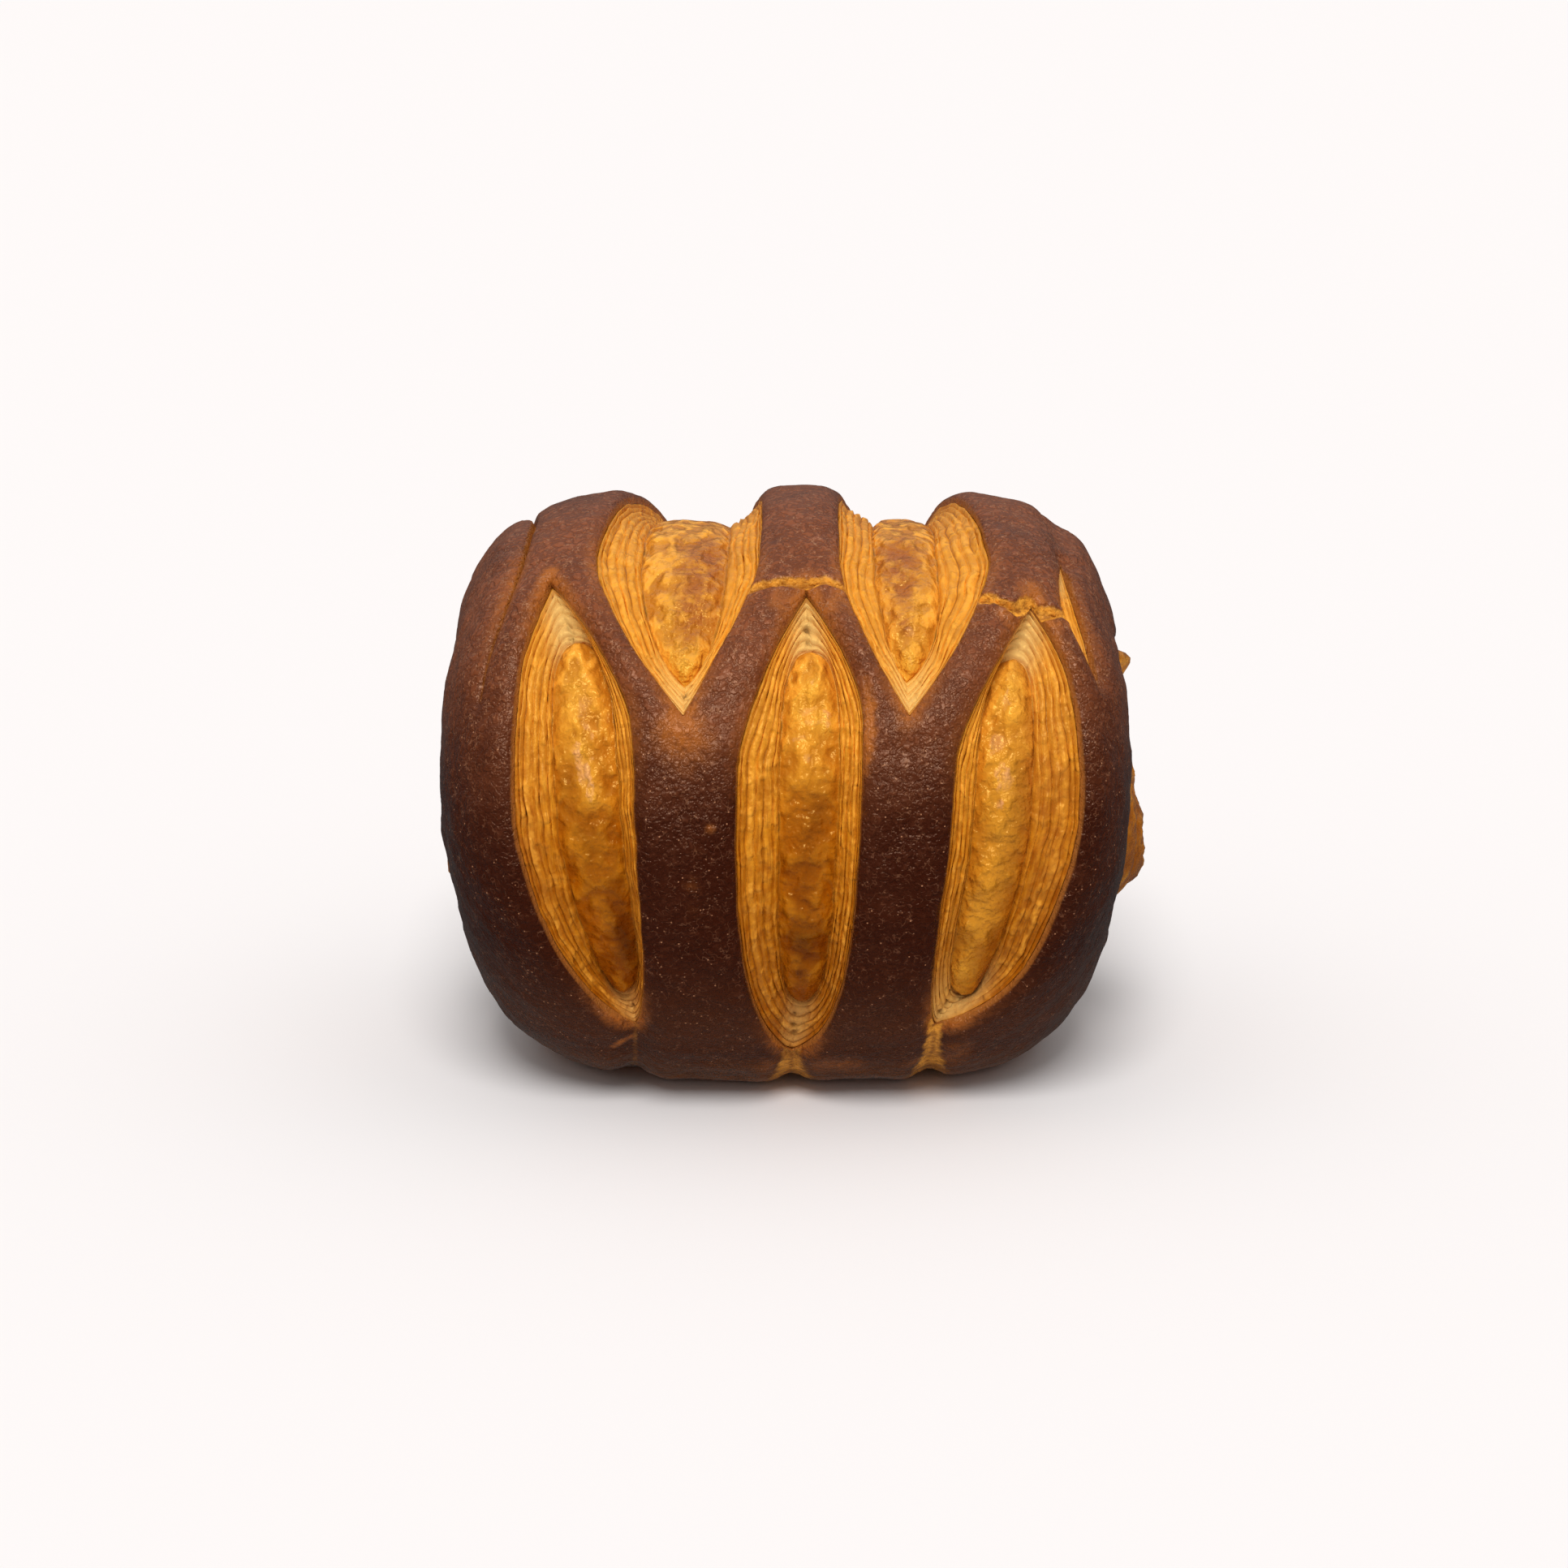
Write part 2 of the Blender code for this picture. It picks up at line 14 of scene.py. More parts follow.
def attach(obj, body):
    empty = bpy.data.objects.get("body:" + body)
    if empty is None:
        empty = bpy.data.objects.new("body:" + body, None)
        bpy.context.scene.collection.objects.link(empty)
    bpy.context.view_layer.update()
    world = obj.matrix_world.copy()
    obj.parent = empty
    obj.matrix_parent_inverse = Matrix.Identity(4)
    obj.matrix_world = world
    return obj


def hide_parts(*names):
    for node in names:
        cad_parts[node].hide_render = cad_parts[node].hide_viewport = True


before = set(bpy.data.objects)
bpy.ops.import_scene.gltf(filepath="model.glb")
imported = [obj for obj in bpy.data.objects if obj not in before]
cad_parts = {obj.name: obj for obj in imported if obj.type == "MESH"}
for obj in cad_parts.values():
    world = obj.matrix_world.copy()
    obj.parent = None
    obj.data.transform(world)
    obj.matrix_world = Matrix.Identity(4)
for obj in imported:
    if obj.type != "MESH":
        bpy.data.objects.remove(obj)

bl_info = {
    "name": "Two-dough pain au chocolat",
    "version": (1, 0, 0),
    "blender": (4, 5, 0),
    "location": "3D View > Sidebar > Pastry",
    "description": "Makes the scored cocoa crust, the layered dough inside it and the table under it",
    "category": "Object",
}

MM = 0.001

# The roll, with the same measures as its two solids.
LEFT_REACH = 47.9 * MM
RIGHT_REACH = 45.6 * MM
HALF_DEPTH = 43.0 * MM
HALF_HEIGHT = 41.2 * MM
AXIS_HEIGHT = 36.7 * MM
MIDDLE = 0.04 * MM
SQUARENESS = 4.95
BOTTOM_TAPER = 0.15
TOP_TAPER = 0.069
FOOT_TAPER = 0.05
FOOT_RISE = 0.21, -0.76
TOP_RISE = 0.63, 1.0
FLOOR_EASE = 1.5 * MM

# The two doughs. The inner face of the sheet and the plain dough under it lie close together.
SHEET = 2.0 * MM
INNER_FACE = 1.9 * MM
UNDER_FACE = 1.97 * MM
EDGE_DROP = 1.3 * MM
EDGE_ROUND = 2.8 * MM
THINNEST = 0.45 * MM
# How ragged the outlines of the slits run, and how long the waves in them are.
OPENING_RAG, FLOOR_RAG = 0.13 * MM, 0.18 * MM
LONG_WAVE, SHORT_WAVE = 4.5 * MM, 1.5 * MM
SLIT_FOOT = 5.5 * MM
SHALLOW_FOOT = 2.8 * MM
CROWN_WIDTH = 5.0 * MM
LIP_SHARE = 0.86

# The relief of the crust: heights, and the sizes of its features.
SWELL_HEIGHT = 0.22 * MM
SWELL_SIZE = 9 * MM
DENT_SIZE = 3.2 * MM
WRINKLE_SIZE = 1.5 * MM
FINE_WRINKLE_SIZE = 0.8 * MM
CALM_EDGE = 1.2 * MM
CRUMB_HEIGHT = 0.08 * MM
CRUMB_SIZE = 0.7 * MM
MOST_RAISED = 0.7 * MM
# The middle strip swells up most of all over the top of the roll.
CREST_HEIGHT = 0.5 * MM
CREST_MIDDLE = 1.4 * MM
CREST_SPREAD = 6 * MM
TOP = 90
CREST_ENDS = 40, 8
# A crease has a raised lip at each side, and a dark core of painted shade.
LIP_HEIGHT = 0.16
LIP_PLACE = 2.1
CORE_SPREAD = 0.22 * MM
LONG_JAG, SHORT_JAG = 1.3 * MM, 0.6 * MM
# The golden rim round the foot, partly painted light bounced up from the table: its strength, and the heights
# where it starts and is full.
FOOT_GOLD_AND_BOUNCE = (0.28, 9.0 * MM, 1.5 * MM), (0.7, 2.8 * MM, 0.6 * MM)
# How far the orange toast reaches from the low and the high tips of the slits, and how strong it is there.
LOW_TOAST, HIGH_TOAST = (6.5 * MM, 0.9), (9.0 * MM, 1.0)

# The ends, which show the turns of the rolled dough.
RIM = 60.0 * MM
LEFT_NOTCH = 2.0 * MM
RIGHT_NOTCH = 6.0 * MM
NOTCH_ANGLE = 58.0
NOTCH_SPREAD = 24.0
ROLL_PITCH = 7.5 * MM
ROLL_GROOVE = 1.3 * MM
GROOVE_SPREAD = 1.3 * MM
ROLL_HEART = 3.0 * MM
LEFT_SWELL = 1.6 * MM
RIGHT_SWELL = 4.2 * MM
SWELL_SPREAD = 15.0 * MM
SWELL_DROP = 10.0 * MM
SWELL_START = 0.35
TURN_WAVE = 5 * MM
END_PUFF = 0.75 * MM
LARGE_PUFF, SMALL_PUFF = 3.0 * MM, 1.3 * MM
BROWN_RANGE = 10 * MM, -8 * MM
# A leaf of dough that looks out beside the rim of the right end.
LEAF_HEIGHT = 3.2 * MM
LEAF_ANGLE = 86.0
LEAF_SPREAD = 13.0
LEAF_START = 1.2 * MM
LEAF_PLACE = 2.4 * MM
LEAF_WIDTH = 2.2 * MM

# How finely the pieces are meshed.
SIDE_STEPS = 125
BACK_STEPS = 80
EDGE_SAMPLES = 800
RIM_STEPS = 160
RIM_SAMPLES = 1280
MERIDIAN_STEPS = 4000
FINE_GRID = 0.62 * MM
COARSE_GRID = 3.0 * MM
FINE_RINGS = 0.25 * MM, 0.6 * MM, 1.05 * MM, 1.6 * MM
FINE_BAND = 1.9 * MM
RING_SHARE = 0.93
# How near free points may come to an edge, to other points and to a rim, as shares of the grid's spacing.
EDGE_ROOM, POINT_ROOM, RIM_ROOM = 0.6, 0.4, 0.35
ROW_SHARE = 0.87
CRACK_GRID = 0.27 * MM
CRACK_BAND = 1.4 * MM
CRACK_ROOM = 0.35 * MM, 0.2 * MM
# Where the rings of a layer lie across it, and those of a floor between its wall and its middle line.
LAYER_STEPS = 0.09, 0.24, 0.5, 0.76, 0.91, 1.0
FLOOR_STEPS = 0.07, 0.17, 0.29, 0.42, 0.56, 0.7, 0.85, 1.0
SHALLOW_STEPS = 0.3, 0.7, 1.0
END_RINGS = 28
SHEET_SMOOTH_UP_TO = 55.0
DOUGH_SMOOTH_UP_TO = 140.0

# The layers in the walls of the slits: where each ends, as a share of the wall's width from the sheet's
# edge to the floor, and how dark the line at its end is.
LAYER_ENDS = 0.0, 0.07, 0.17, 0.40, 0.58, 0.84, 1.0
LINE_DARKNESS = 0.5, 0.4, 1.0, 0.4, 1.0, 0.35, 0.9
SHALLOW_ENDS = 0.0, 0.3, 0.65, 1.0
SHALLOW_DARKNESS = 0.7
LAYER_SLOPE = 0.5
PILLOW = 0.2 * MM
LAYER_GROOVE = 0.03 * MM
GROOVE_SHARE = 0.08
WALL_HOLE = 0.4 * MM
FLOOR_HOLE = 0.5 * MM
NARROW_WALL = 0.4 * MM
WIDE_WALL = 4.0 * MM
HIGH_CREAM_REACH = 4.2 * MM
FLOOR_CORNER = 0.35 * MM
# How the lines between layers drift along the wall: how far, how much it turns by level, size and seed.
DRIFTS = (0.62, 0.5, 12.0, 21), (0.22, 0.8, 3.5, 22)
# The bubbles on a floor keep away from its wall.
BUBBLE_EDGE = 1.3 * MM
LARGE_BUBBLE = 3.4 * MM
SMALL_BUBBLE = 2.1 * MM
BROAD_BUBBLE = 6 * MM

# The studio, and the picture it is seen in.
ROLL_HEIGHT = 0.078
AIM_HEIGHT = 0.038
LAMP_PLACE = -0.01, -0.34, 0.52
LAMP_AIM = 0, 0, 0.04
LAMP_WIDTH = 24
SKY_STOPS = [(0.0, (0.10, 0.099, 0.098)), (0.42, (0.38, 0.378, 0.375)), (0.85, (0.80, 0.798, 0.795))]
BACKDROP = 0.935, 0.90, 0.892
SENSOR = 36.0
PICTURE = 1932
PICTURE_SHIFT = -12.5, -9

SEAM = -90.0
DEGREE = np.pi / 180 * (HALF_DEPTH + HALF_HEIGHT) / 2

Side = namedtuple("Side", "bow peak low_fullness high_fullness")
Eye = namedtuple("Eye", "low high left right")
Slit = namedtuple("Slit", "opening floor foot")
# An outline as rows from its low tip to its high tip.
Outline = namedtuple("Outline", "left right around")


def side(bow, peak, low_fullness=1.5, high_fullness=1.5):
    """One side of an eye: how far it bows out, at which angle, and how full it is below and above."""
    return Side(bow * MM, peak, low_fullness, high_fullness)


def tip(along, around):
    """A place on the skin from millimetres along and degrees around."""
    return along * MM, around


FRONT_ROW = [
    Slit(
        Eye(tip(-24.2, -38), tip(-33.6, 61), side(8.0, 1, 3.5, 1.8), side(9.7, 30, 1.6, 1.5)),
        Eye(tip(-26.5, -34), tip(-29.8, 49), side(3.4, 6, 4.0, 3.6), side(5.9, 18, 2.2, 3.6)),
        SLIT_FOOT,
    ),
    Slit(
        Eye(tip(-0.4, -47), tip(1.7, 56), side(8.2, 20, 3.4, 1.5), side(8.1, 29, 5.8, 1.5)),
        Eye(tip(1.0, -36), tip(2.1, 46), side(3.6, 22, 4.5, 3.0), side(4.3, 14, 4.5, 3.6)),
        SLIT_FOOT,
    ),
    Slit(
        Eye(tip(22.5, -38), tip(33.8, 55), side(8.0, 23, 1.5, 1.5), side(12.1, -6, 4.5, 2.5)),
        Eye(tip(27.5, -36), tip(31.2, 45), side(5.2, 19, 2.4, 3.6), side(4.0, -12, 2.9, 4.5)),
        SLIT_FOOT,
    ),
]
TOP_ROW = [
    Slit(
        Eye(tip(-42.0, 35), tip(-41.5, 145), side(-3.4, 90), side(4.4, 90)),
        Eye(tip(-41.2, 46), tip(-40.8, 134), side(-2.8, 90), side(3.2, 90)),
        SHALLOW_FOOT,
    ),
    Slit(
        Eye(tip(-14.1, 30), tip(-12.5, 150), side(14.1, 68), side(8.9, 66, 1.5, 3.4)),
        Eye(tip(-14.0, 38), tip(-12.8, 142), side(8.0, 73, 1.9, 3.0), side(4.2, 74, 4.0, 3.6)),
        SLIT_FOOT,
    ),
    Slit(
        Eye(tip(15.4, 30), tip(14.5, 150), side(8.5, 64, 1.7, 3.2), side(13.5, 68)),
        Eye(tip(15.1, 39), tip(14.6, 142), side(3.1, 75, 3.3, 2.8), side(6.5, 85, 4.0, 2.4)),
        SLIT_FOOT,
    ),
    Slit(
        Eye(tip(43.4, 39), tip(40.8, 74), side(3.4, 56), side(0.6, 56)),
        Eye(tip(42.7, 44), tip(41.0, 69), side(2.4, 56), side(-0.4, 56)),
        SHALLOW_FOOT,
    ),
]


def mirrored(eye, shift):
    """The outline on the other side of the top of the roll, moved along it."""
    low, high = [(along + shift, 180 - around) for along, around in (eye.high, eye.low)]
    left, right = [
        Side(edge.bow, 180 - edge.peak, edge.high_fullness, edge.low_fullness)
        for edge in (eye.left, eye.right)
    ]
    return Eye(low, high, left, right)


BACK_SHIFT = -0.8 * MM
BACK_ROW = [
    Slit(mirrored(slit.opening, BACK_SHIFT), mirrored(slit.floor, BACK_SHIFT), slit.foot)
    for slit in FRONT_ROW
]
SLITS = FRONT_ROW + TOP_ROW + BACK_ROW

# A crease is a valley in the sheet from point to point, with its depth and spread, how bare the crumb shows
# in it, how wide and how flared towards its end, and how jagged it runs.
Crease = namedtuple("Crease", "route depth spread bare bare_spread flare jag")


def crease_of(route, depth, spread, bare, bare_spread, flare, jag):
    corners = [tip(*corner) for corner in route]
    return Crease(corners, depth * MM, spread * MM, bare, bare_spread * MM, flare, jag * MM)


FOOT_CREASES = [
    crease_of([(-24.2, -38), (-25.4, -66)], 1.3, 2.4, 0.4, 0.4, 1.0, 0.25),
    crease_of([(-0.4, -45), (-0.6, -66)], 1.0, 2.2, 0.85, 1.6, 3.4, 0.35),
    crease_of([(22.5, -37), (22.0, -66)], 1.0, 2.2, 0.85, 1.3, 2.6, 0.35),
]
CRACKS = [
    crease_of(
        [(-5.8, 56.3), (-1.4, 57.4), (2.0, 57.3), (4.7, 57.8), (8.0, 56.4)],
        0.9, 0.5, 1.0, 0.72, 0.0, 0.2,
    ),
    crease_of(
        [(26.2, 54.2), (28.6, 53.2), (30.8, 52), (33.4, 54.8), (34.8, 52.4), (39.2, 54.2)],
        1.1, 0.6, 1.0, 0.9, 0.0, 0.4,
    ),
]
END_CREASE = crease_of([(40.8, 74), (39.4, 108)], 0.9, 2.2, 0.0, 1.0, 0.0, 0.3)
BACK_CREASES = [
    made._replace(route=[(along + BACK_SHIFT, 180 - around) for along, around in made.route])
    for made in FOOT_CREASES
]
CREASES = FOOT_CREASES + BACK_CREASES + CRACKS + [END_CREASE]

Patch = namedtuple("Patch", "place spread strength")
Stain = namedtuple("Stain", "place spread_along spread_around strength")


def round_patches(*rows):
    """Round patches from rows of along, around, spread and strength."""
    return [Patch(tip(along, around), spread * MM, strength) for along, around, spread, strength in rows]


def oval_stains(*rows):
    """Oval stains from rows of along, around, spread along, spread around and strength."""
    return [Stain(tip(*row[:2]), row[2] * MM, *row[3:]) for row in rows]


def small_holes(*rows):
    """Small holes from rows of along, around and radius."""
    return [Patch(tip(*row[:2]), row[2] * MM, 1.0) for row in rows]


# Where the cocoa crust is toasted orange.
TOASTED = round_patches(
    (-14.2, 27.5, 3.2, 0.95), (-11.0, 24.0, 2.4, 0.3), (-13.8, 21.5, 3.6, 0.35), (-17.0, 25.0, 2.4, 0.25),
    (15.2, 29.0, 2.2, 0.5), (14.8, 24.0, 3.0, 0.2), (9.7, 36.5, 0.8, 0.7), (10.0, 34.0, 0.9, 0.9),
    (10.2, 31.5, 1.0, 1.0), (10.1, 29.0, 0.9, 1.0), (10.1, 26.5, 1.0, 1.0), (9.9, 24.0, 0.9, 1.0),
    (9.7, 21.5, 0.9, 0.8), (9.5, 19.0, 0.7, 0.6), (9.3, 12.0, 0.6, 0.5), (1.8, 57.5, 2.6, 0.8),
    (-2.4, 52.0, 1.6, 0.6), (5.6, 52.0, 1.6, 0.6), (-33.6, 62.5, 1.8, 0.9), (33.8, 57.0, 2.6, 0.9),
    (29.0, 50.5, 1.8, 0.7), (-26.6, -44.0, 1.0, 1.0), (-27.8, -45.5, 0.7, 0.9), (-25.2, -42.5, 0.8, 0.9),
    (-10.6, 9.0, 0.8, 0.7), (-12.6, 5.0, 1.8, 0.2), (-13.2, -1.5, 1.9, 0.32), (-13.4, -6.5, 1.6, 0.26),
    (-4.2, -50.0, 3.4, 0.44), (4.6, -49.0, 4.2, 0.50), (9.5, -50.0, 3.6, 0.42), (26.5, -45.0, 3.4, 0.46),
    (25.0, -52.0, 3.6, 0.42), (19.4, -50.0, 2.6, 0.4), (-2.0, 54.4, 1.6, 0.5), (6.0, 54.6, 1.4, 0.5),
    (36.6, 51.0, 1.8, 0.6),
)

# Where the plain dough is baked darker, paler or redder on the floors of the slits, some pale patches being
# painted highlights, and where pinkish highlights are painted on; the walls take less of it.
BROWNED = oval_stains(
    (-24.0, -17.0, 1.8, 9.0, 0.95), (-26.4, 1.0, 2.4, 9.0, 0.4), (-29.5, 14.0, 1.6, 7.0, 0.3),
    (1.2, -17.5, 2.2, 7.0, 0.75), (1.8, 2.0, 2.2, 11.0, 0.42), (3.4, 12.0, 1.4, 6.0, 0.3),
    (0.8, -24.5, 0.6, 1.0, 1.0), (31.0, 12.0, 1.6, 14.0, 0.25),
)
# Pale patches; the small ones on the floors of the front slits are painted highlights.
PALE_AND_HIGHLIGHTS = oval_stains(
    (29.0, 38.0, 2.2, 6.0, 0.7), (28.6, 8.0, 3.4, 20.0, 0.5), (26.6, -12.0, 3.0, 12.0, 0.6),
    (25.5, -26.0, 3.0, 4.0, 0.9), (24.4, -33.0, 3.0, 4.0, 1.0), (28.6, 18.0, 1.5, 3.0, 0.85),
    (-28.6, 36.0, 2.0, 6.0, 0.5), (-28.1, 23.8, 1.1, 2.2, 1.0), (-27.0, 19.5, 1.0, 2.6, 1.0),
    (-26.0, 14.8, 0.9, 2.2, 0.95), (4.0, 30.0, 1.2, 2.8, 1.0), (2.2, 37.0, 1.2, 2.6, 0.8),
    (0.2, 33.0, 0.9, 3.0, 0.7), (-13.9, 41.5, 3.2, 6.5, 1.0), (15.3, 41.5, 2.8, 6.5, 1.0),
    (-16.8, 56.0, 1.0, 5.0, 0.7), (17.6, 56.0, 0.9, 5.0, 0.6),
)
REDDENED = oval_stains(
    (-13.0, 68.0, 3.4, 9.0, 1.0), (-13.6, 57.0, 2.8, 8.0, 0.95), (-12.6, 77.0, 3.6, 6.0, 0.9),
    (-14.3, 49.5, 1.3, 4.0, 0.5), (15.4, 68.0, 3.2, 9.0, 0.9), (15.2, 57.0, 2.4, 8.0, 0.6),
    (15.6, 77.0, 3.4, 6.0, 0.9), (15.1, 49.5, 1.0, 4.0, 0.5), (-13.0, 114.0, 3.2, 12.0, 1.0),
    (15.0, 114.0, 3.0, 12.0, 1.0), (36.5, 18.0, 3.6, 26.0, 1.0), (-35.5, 12.0, 2.6, 24.0, 0.7),
)
# Pinkish patches of painted highlight on the floors.
PAINTED_HIGHLIGHTS = oval_stains(
    (-28.3, 24.5, 0.9, 2.6, 0.9), (-27.4, 20.0, 1.0, 2.8, 1.0), (-26.4, 15.5, 0.8, 2.4, 0.9),
    (4.2, 30.5, 1.1, 2.6, 0.8), (2.4, 37.0, 0.9, 2.2, 0.5), (28.6, 18.5, 1.5, 3.4, 1.0),
    (28.0, 13.0, 0.9, 2.0, 0.6),
)

STAINS = {"browned": BROWNED, "pale": PALE_AND_HIGHLIGHTS, "red": REDDENED, "glazed": PAINTED_HIGHLIGHTS}
WALL_STAINS = {"browned": 0.6, "pale": 0.6, "red": 0.4}

# Small holes on the middle lines of the slits, between their walls.
HOLES = small_holes(
    (-30.7, 52.2, 0.38), (-30.4, 50.0, 0.28), (1.8, 50.4, 0.42), (1.9, 47.8, 0.28), (0.1, -38.6, 0.36),
    (-0.1, -41.4, 0.42), (-24.6, -36.2, 0.3), (23.4, -36.8, 0.45), (24.4, -35.8, 0.4), (25.0, -33.6, 0.35),
    (26.2, -34.6, 0.3), (24.2, -31.4, 0.25), (0.0, -43.4, 0.45), (-14.0, 35.0, 0.32),
)


# How creamy the walls of each slit are at its low tip, and how far up.
PLAIN_TIP, CREAM_TIP = (0.45, 3.0 * MM), (1.0, 5.0 * MM)
LOW_CREAM = [PLAIN_TIP] * 2 + [(1.0, 6.5 * MM)] + [CREAM_TIP] * len(TOP_ROW) + [PLAIN_TIP] * len(BACK_ROW)


def ramp(low, high, value):
    """0 at low, 1 at high, level beyond them and smooth in between; low may be the larger."""
    t = np.clip((value - low) / (high - low), 0, 1)
    return t * t * (3 - 2 * t)


def bell(distance, spread):
    """1 where the distance is 0, falling away smoothly about as far as the spread."""
    return np.exp(-((distance / spread) ** 2))


def meridian():
    """The line over the skin from the middle to an end: its length, shares and outward normal."""
    turn = np.linspace(0, np.pi / 2, MERIDIAN_STEPS + 1)
    reach, radius = (LEFT_REACH + RIGHT_REACH) / 2, (HALF_DEPTH + HALF_HEIGHT) / 2
    out = np.sin(turn) ** (2 / SQUARENESS)
    up = np.cos(turn) ** (2 / SQUARENESS)
    steps = np.hypot(np.diff(out) * reach, np.diff(up) * radius)
    lengths = np.concatenate([[0], np.cumsum(steps)])
    normal = np.stack([out ** (SQUARENESS - 1) / reach, up ** (SQUARENESS - 1) / radius])
    return (lengths, out, up, *(normal / np.linalg.norm(normal, axis=0)))


MERIDIAN = meridian()
POLE = MERIDIAN[0][-1]


def skin(along, around, depth):
    """The point at each skin coordinate, flattened where the roll rests on z = 0."""
    out, up, lean_out, lean_up = [np.interp(np.abs(along), MERIDIAN[0], row) for row in MERIDIAN[1:]]
    rise, front = np.sin(np.radians(around)), np.cos(np.radians(around))
    foot = ramp(*FOOT_RISE, rise)
    taper = BOTTOM_TAPER * foot + TOP_TAPER * ramp(*TOP_RISE, rise)
    radius_share = up * (1 - FOOT_TAPER * out**2 * foot)
    reach = np.where(along < 0, LEFT_REACH, RIGHT_REACH)
    x = np.sign(along) * (reach * out * (1 - taper * up**2) - depth * lean_out)
    y = -(HALF_DEPTH * radius_share - depth * lean_up) * front
    z = (HALF_HEIGHT * radius_share - depth * lean_up) * rise + AXIS_HEIGHT - depth
    eased = (z + FLOOR_EASE) ** 2 / (4 * FLOOR_EASE)
    z = np.where(z > FLOOR_EASE, z, np.where(z < -FLOOR_EASE, 0, eased)) + depth
    return np.stack([x - MIDDLE, y, np.maximum(z, 0)], -1)


def place(points, depth):
    """Where (along, around) points lie in space at a depth under the skin."""
    return skin(points[..., 0], points[..., 1], depth)


def lattice_noise(points, size, seed):
    """Smooth noise from -1 to 1 over rows of coordinates, with features of the given size."""
    where = points / size + 19.7 * seed
    cell = np.floor(where).astype(np.int64)
    share = where - cell
    share = share * share * (3 - 2 * share)
    total = np.zeros(len(points))
    for corner in itertools.product((0, 1), repeat=points.shape[1]):
        weight = np.prod(np.where(np.array(corner, bool), share, 1 - share), axis=1)
        key = (cell + corner + 4096).astype(np.uint64)
        mixed = np.zeros(len(points), np.uint64)
        for axis in range(points.shape[1]):
            mixed = (mixed ^ key[:, axis]) * np.uint64(0x9E3779B97F4A7C15)
            mixed ^= mixed >> np.uint64(29)
        total += weight * ((mixed >> np.uint64(40)).astype(float) / 2**23 - 1)
    return total


def humps(points, size, seed):
    """Round humps of height 1 about size wide, with level ground between them."""
    return np.clip(1.6 * lattice_noise(points, size, seed), 0, 1)


def bowed(edge, low, high, around):
    """How far a side stands out, at each angle, from the line between its tips at low and high."""
    below = around < edge.peak
    reach = np.where(below, low, high) - edge.peak
    fullness = np.where(below, edge.low_fullness, edge.high_fullness)
    return edge.bow * (1 - np.abs((around - edge.peak) / reach) ** fullness)


def outline(eye, steps, rag, seed, roundness):
    """The rows of an outline, closer together near its tips, its sides as ragged as rag says.

    The smaller the roundness, for the low and for the high tip, the rounder that tip is.
    """
    shares = (1 - np.cos(np.linspace(0, np.pi, steps + 1))) / 2
    (low_along, low), (high_along, high) = eye.low, eye.high
    middle = low_along + (high_along - low_along) * shares
    around = low + (high - low) * shares
    waver = []
    for number in (1, 2):
        row = np.stack([around * DEGREE, np.full_like(around, (seed * 2 + number) * 0.031)], -1)
        wave = lattice_noise(row, LONG_WAVE, 3) + 0.5 * lattice_noise(row, SHORT_WAVE, 5)
        waver.append(rag * wave * np.sqrt(np.sin(np.pi * shares)))
    power = roundness[0] + (roundness[1] - roundness[0]) * ramp(0.3, 0.7, shares)
    bows = []
    for edge in (eye.left, eye.right):
        bow = bowed(edge, low, high, around)
        widest = np.abs(bow).max()
        bows.append(np.sign(bow) * widest * np.abs(bow / widest) ** power)
    return Outline(middle - bows[0] + waver[0], middle + bows[1] + waver[1], around)


def loop_of(rows):
    """An outline as a loop of points: up the left side and back down the right."""
    up = np.stack([rows.left, rows.around], -1)
    down = np.stack([rows.right, rows.around], -1)[::-1]
    return np.concatenate([up, down[1:-1]])


def there_and_back(row):
    """A row from tip to tip as a loop that goes up it and back down, to match an outline's loop."""
    return np.concatenate([row, row[::-1][1:-1]])


def inside(rows, points):
    """Which (along, around) points lie inside the outline."""
    around = points[:, 1]
    left = np.interp(around, rows.around, rows.left)
    right = np.interp(around, rows.around, rows.right)
    within = (around > rows.around[0]) & (around < rows.around[-1])
    return within & (points[:, 0] > left) & (points[:, 0] < right)


def rim(around, end):
    """How far along the sheet reaches at an angle; end is -1 on the left and 1 on the right."""
    turn = (around - NOTCH_ANGLE + 180) % 360 - 180
    notch = RIGHT_NOTCH if end > 0 else LEFT_NOTCH
    return RIM - notch * bell(turn, NOTCH_SPREAD)


def inside_rims(points):
    """How far along each point lies from the sheet's nearer rim; negative beyond it."""
    angles = SEAM + 360 * np.arange(RIM_STEPS + 1) / RIM_STEPS
    left, right = [np.interp(points[:, 1], angles, rim(angles, end)) for end in (-1, 1)]
    return np.where(points[:, 0] < 0, left, right) - np.abs(points[:, 0])


def flat(points):
    """Skin coordinates as lengths on the unrolled sheet."""
    return points * [1, DEGREE]


def tree_of(points):
    """A search tree of unrolled points."""
    tree = KDTree(len(points))
    for index, (x, y) in enumerate(points.tolist()):
        tree.insert((x, y, 0), index)
    tree.balance()
    return tree


def nearest(tree, points):
    """How far each unrolled point lies from the nearest one in the tree."""
    return np.array([tree.find((x, y, 0))[2] for x, y in points.tolist()])


STEPS_OF = [BACK_STEPS if slit in BACK_ROW or slit.foot == SHALLOW_FOOT else SIDE_STEPS for slit in SLITS]


def outlines(eyes, rag, first_seed, front, top, back):
    """The outlines of all slits, with the roundness of their tips in each row."""
    roundness = [front] * len(FRONT_ROW) + [top] * len(TOP_ROW) + [back] * len(BACK_ROW)
    rows = enumerate(zip(eyes, STEPS_OF, roundness))
    return [outline(eye, steps, rag, first_seed + number, tips) for number, (eye, steps, tips) in rows]


OPENINGS = outlines([slit.opening for slit in SLITS], OPENING_RAG, 0, (0.8, 1.0), (1.0, 1.0), (1.0, 0.8))
FLOORS = outlines([slit.floor for slit in SLITS], FLOOR_RAG, 40, (0.36, 0.36), (0.8, 0.8), (0.36, 0.36))


